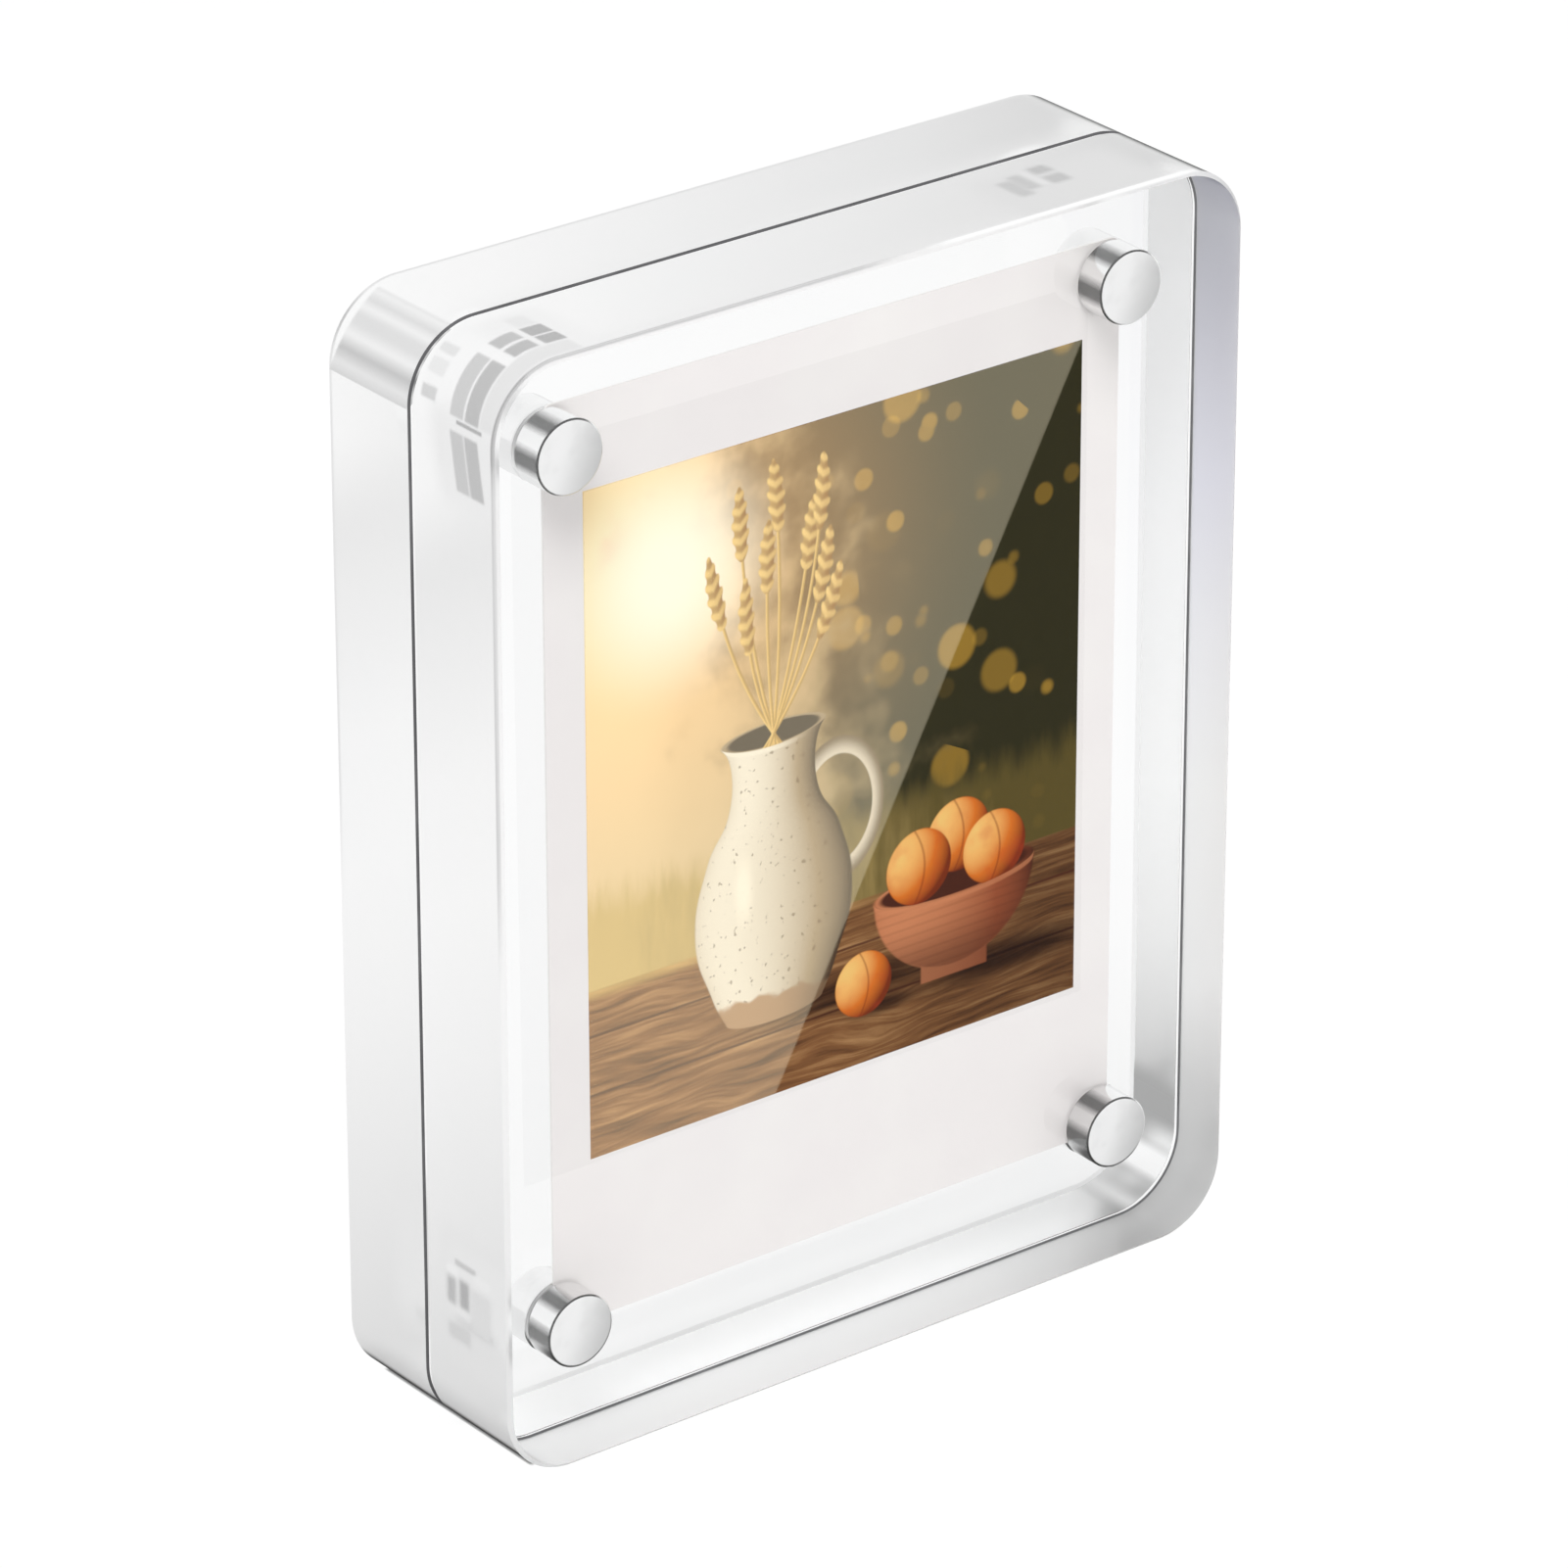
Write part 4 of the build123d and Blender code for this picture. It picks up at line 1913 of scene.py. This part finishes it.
@dataclass
class EdgeLights:
    """The tones that the walls of the blocks mirror, the ghosts of the magnets and the lines of light."""

    front_side: Stops = greys((0.02, 76), (0.1, 161), (0.2, 219), (0.39, 232)) + (
        (0.55, tone(218, 218, 226)), (0.68, tone(190, 190, 211)), (0.85, tone(105, 105, 136)),
        (0.93, tone(68, 70, 104)))
    front_base: Stops = greys((0.0, 236), (0.35, 240), (0.57, 232), (0.72, 218), (0.84, 187), (0.93, 112))
    front_spot: Colour = screen(50)
    back_side: Stops = greys((0.06, 40), (0.085, 45), (0.1, 126), (0.13, 163), (0.22, 202), (0.37, 222),
                             (0.5, 220), (0.65, 216), (0.9, 190))
    back_base: Stops = greys((0.3, 246), (0.66, 246), (0.8, 236), (0.9, 227), (0.96, 204))
    back_spot: Colour = screen(222)
    back_strength: float = 1.3
    corner_ghost: tuple[Patch, ...] = (
        Patch(92.5, 102.0, 2.2, 14.0, 222.0, 1.5), Patch(101.0, 109.0, 0.8, 14.0, 236.0, 1.2),
        Patch(108.0, 115.0, 1.4, 14.0, 226.0, 1.2), Patch(100.5, 112.9, 8.9, 11.1, 203.0, 0.25),
        Patch(110.9, 113.1, 4.7, 6.6, 0.0, 0.16), Patch(110.9, 113.1, 6.85, 8.6, 0.0, 0.16),
        Patch(107.6, 110.2, 4.75, 6.45, 112.0, 0.18), Patch(107.6, 110.2, 6.9, 8.6, 92.0, 0.18),
        Patch(100.5, 106.4, 4.75, 6.6, 152.0, 0.16), Patch(100.5, 106.4, 6.85, 8.75, 105.0, 0.16),
        Patch(93.9, 99.2, 4.75, 6.6, 146.0, 0.2), Patch(93.9, 99.2, 6.75, 8.65, 118.0, 0.2),
        Patch(99.95, 100.3, 5.7, 9.3, 60.0), Patch(111.0, 113.0, 2.2, 4.5, 208.0, 0.3),
        Patch(105.0, 106.0, 0.5, 2.8, 200.0, 0.2), Patch(103.0, 104.5, 0.5, 2.8, 212.0, 0.2),
        Patch(100.8, 102.0, 0.5, 2.6, 168.0, 0.2))
    low_ghost: tuple[Patch, ...] = (
        Patch(9.0, 14.0, 2.5, 12.5, 200.0, 1.6), Patch(13.5, 22.0, 2.5, 12.5, 212.0, 1.6),
        Patch(19.1, 19.7, 4.1, 7.2, 140.0, 0.22), Patch(18.0, 18.8, 2.8, 4.6, 222.0, 0.2),
        Patch(18.3, 19.2, 6.9, 9.2, 219.0, 0.3), Patch(15.0, 17.7, 2.8, 4.2, 100.0, 0.45),
        Patch(15.1, 17.9, 4.7, 6.2, 50.0, 0.45), Patch(13.3, 17.7, 6.3, 9.4, 189.0, 0.5),
        Patch(11.6, 13.2, 2.9, 6.3, 166.0, 0.4))
    far_ghost: tuple[Patch, ...] = (
        Patch(161.0, 176.5, 2.5, 12.5, 189.0, 1.6), Patch(167.6, 169.7, 2.4, 4.2, 100.0, 0.45),
        Patch(167.6, 169.7, 4.8, 6.7, 108.0, 0.45), Patch(166.7, 167.3, 2.8, 6.4, 199.0, 0.2),
        Patch(164.9, 166.4, 3.0, 6.6, 126.0, 0.4), Patch(163.3, 164.9, 3.7, 7.5, 126.0, 0.45))
    front_line: tuple[Patch, ...] = (
        Patch(55.0, 101.0, 11.3, 12.0, 168.0, 0.08, 8.0), Patch(105.0, 145.0, 11.36, 12.0, 110.0, 0.06, 4.0),
        Patch(96.5, 107.5, 11.27, 12.0, 0.0, 0.1, 1.8), Patch(149.0, 182.0, 11.25, 12.0, 255.0, 0.08, 4.0))
    back_line: tuple[Patch, ...] = (
        Patch(55.0, 101.0, 11.3, 12.0, 205.0, 0.08, 8.0), Patch(107.0, 178.0, 11.3, 12.0, 190.0, 0.08, 4.0),
        Patch(100.5, 107.0, 11.25, 12.0, 95.0, 0.1, 4.0))
    line_inset: float = 0.06
    corner_shade: tuple[Patch, ...] = (
        Patch(94.9, 100.1, -2.0, 14.0, 159.0, 1.3), Patch(101.9, 105.0, -2.0, 14.0, 255.0, 0.8),
        Patch(106.9, 109.2, -2.0, 14.0, 222.0, 1.2))
    back_veil: tuple[Patch, ...] = (Patch(11.0, 25.0, -2.0, 4.5, 211.0, 1.5, 3.0),)

    def build_walls(self) -> None:
        """Build the cards that the walls mirror and the one that the upper left corner draws out."""
        EdgeCard("front_edge_card", Half.FRONT, self.front_side, self.front_base, self.front_spot).build()
        EdgeCard("back_edge_card", Half.BACK, self.back_side, self.back_base, self.back_spot,
                 self.back_strength).build()
        StreakCard().build()

    def build_ghosts(self) -> None:
        """Build the ghosts and the lines, each on its stretch of the way round the outline."""
        front, back, inset = Half.FRONT, Half.BACK, self.line_inset
        for card in (
                GhostCard("corner_ghost", front, 90.5, 116.5, self.corner_ghost, bow=0.0064, bow_peak=110.0),
                GhostCard("low_ghost", front, 7.2, 24.0, self.low_ghost),
                GhostCard("far_ghost", front, 159.0, 178.0, self.far_ghost),
                GhostCard("front_line", front, 44.0, 186.0, self.front_line, inset=inset),
                GhostCard("back_line", back, 44.0, 186.0, self.back_line, inset=inset),
                GhostCard("back_veil", back, 6.0, 30.0, self.back_veil),
                GhostCard("corner_shade", back, 92.0, 112.0, self.corner_shade, outer=False, flipped=True)):
            card.build()


@dataclass
class Studio:
    """The camera, the white floor, the soft light and the cards."""

    camera_azimuth: float = -37.95
    camera_elevation: float = 25.42
    camera_distance: float = 0.7864
    camera_target: tuple[float, float, float] = (-0.00103, 0.0, 0.0525)
    focal_length: float = 202.93
    sensor_width: float = 36.0
    floor_half_size: float = 4.0
    floor_drop: float = 0.2 * MM
    floor_share: float = 0.2
    floor_glow: float = 0.83
    floor_mirrored: float = 0.88
    floor_covered: float = 0.06
    cover_fade: float = 6.0 * MM
    contact_glow: float = 0.03
    contact_front: float = 9.5 * MM
    contact_back: float = 12.5 * MM
    fill_level: float = 0.62
    key_place: tuple[float, float, float] = (-0.5, -0.9, 1.3)
    key_size: float = 0.9
    key_power: float = 14.0
    edge_lights: EdgeLights = field(default_factory=EdgeLights)

    def aim(self, thing: Object, place: Sequence[float]) -> None:
        """Put a camera or a lamp at a place, so that it looks at the target.

        Args:
            thing: The camera or the lamp.
            place: Where it goes.
        """
        thing.location = place
        way = Vector(self.camera_target) - thing.location
        thing.rotation_euler = way.to_track_quat("-Z", "Y").to_euler()

    def build_camera(self) -> None:
        """Place the camera at the photograph's viewing angle."""
        azimuth = math.radians(self.camera_azimuth)
        elevation = math.radians(self.camera_elevation)
        away = Vector((math.sin(azimuth) * math.cos(elevation), -math.cos(azimuth) * math.cos(elevation),
                       math.sin(elevation)))
        lens = bpy.data.cameras.new("camera")
        lens.lens = self.focal_length
        lens.sensor_width = self.sensor_width
        camera = add_object("camera", lens)
        self.aim(camera, Vector(self.camera_target) + away * self.camera_distance)
        bpy.context.scene.camera = camera

    def build_world(self) -> None:
        """Make a world that is white to look at and softer as a light."""
        world = bpy.data.worlds.new("studio")
        world.use_nodes = True
        world.node_tree.nodes.clear()
        graph = Graph(world.node_tree)
        seen = graph.largest(*[graph.ray(fact) for fact in (Ray.CAMERA, Ray.GLOSSY, Ray.TRANSMISSION)])
        colour = graph.mix(seen, grey(self.fill_level), grey(1.0))
        light = graph.node("ShaderNodeBackground", {"Color": colour, "Strength": 1.0})
        graph.show(graph.node("ShaderNodeOutputWorld"), light)
        bpy.context.scene.world = world

    def build_floor(self) -> None:
        """Make the pale floor, which glows enough to be white and still takes a faint shadow.

        Mirrored in the object it is a little darker, and darkest where the object covers it: painted shade
        for those reflections.
        """
        work = bmesh.new()
        bmesh.ops.create_grid(work, x_segments=1, y_segments=1, size=self.floor_half_size)
        floor = add_object("floor", to_mesh(work, "floor"))
        floor.location.z = -self.floor_drop
        material, graph, out = new_material("studio_floor")
        pale = graph.both(graph.matt(self.floor_share), graph.glow(grey(self.floor_glow)))
        axes = graph.split()
        reach = CAD_BOX[1]
        covered = (abs(axes["X"]).eased(reach.x + self.cover_fade, reach.x)
                   * abs(axes["Y"]).eased(reach.y + self.cover_fade, reach.y))
        cover = graph.mix(covered, grey(self.floor_mirrored), grey(self.floor_covered))
        graph.show(out, graph.choose(graph.turned(), pale, graph.glow(cover)))
        floor.data.materials.append(material)

    def build_key(self) -> None:
        """Hang one large soft lamp to the upper left of the camera."""
        light = bpy.data.lights.new("key", "AREA")
        light.energy = self.key_power
        light.size = self.key_size
        lamp = add_object("key", light)
        self.aim(lamp, self.key_place)
        lamp.visible_glossy = False
        lamp.visible_transmission = False

    def build(self) -> None:
        """Build the whole studio and set the plain view transform."""
        self.build_camera()
        self.build_world()
        self.build_floor()
        self.build_key()
        self.edge_lights.build_walls()
        for half, edge in ((Half.FRONT, self.contact_front), (Half.BACK, self.contact_back)):
            GuideCard(f"{half.body}_guide_card", half).build()
            ContactCard(f"{half.body}_contact", half, self.contact_glow, self.floor_share, self.floor_drop,
                        edge).build()
        self.edge_lights.build_ghosts()
        GlareCard().build()
        FlagCard().build()
        bpy.context.scene.view_settings.view_transform = "Standard"


BLOCK_FINISHES: dict[Surface, Union[AcrylicFinish, SeamShadeFinish]] = {
    Surface.FACE: AcrylicFinish(),
    Surface.SIDE: AcrylicFinish("hazy_side", clarity=0.6, roughness=0.3, grazing_tint=grey(0.02)),
    # The pockets bend no light, so that the magnets in them show from every side
    Surface.SEAT: AcrylicFinish("pocket_seat", body_tint=grey(1.0), smudge_tint=grey(0.985), refraction=1.0,
                                shade_tint=grey(1.0), frees_turned=False, smudge_scale=300.0,
                                hairline_scale=2000.0),
    # Painted shade: the seam chamfers are dark grey so that the seam shows as a dark line
    Surface.CUT: SeamShadeFinish(),
    Surface.EASED: AcrylicFinish("eased_edge", clarity=0.5, body_tint=grey(0.92), smudge_tint=grey(0.9),
                                 roughness=0.35),
}
MAGNET_FINISHES: dict[Half, NickelFinish] = {
    Half.FRONT: NickelFinish(),
    # White paper and acrylic all round the back magnets leave their sides without dark streaks, so their
    # painted reflections, rim shade and end light are pale
    Half.BACK: NickelFinish("pale_nickel", end_painted_light=grey(0.88), end_painted_shade=grey(0.5), rim_painted_shade=grey(0.9),
                            streaks=((-60.0, 0.94), (110.0, 0.91))),
}


def main() -> None:
    """Build and dress every sub-assembly, report each piece, then build the studio round them."""
    logging.basicConfig(level=logging.INFO)
    effects = Effects()
    clear = [BLOCK_FINISHES[surface].material(effects) for surface in Surface]
    pieces: list[Object] = []
    for half in Half:
        pieces.append(ClearBlock(half).dress(clear))
        pieces += MagnetSet(half).dress(MAGNET_FINISHES[half].material(effects))
    pieces += BorderedPrint().dress(effects)
    for piece in pieces:
        LOG.info("piece %s: %d faces", piece.name, len(piece.data.polygons))
    Studio().build()


if __name__ == "__main__":
    main()
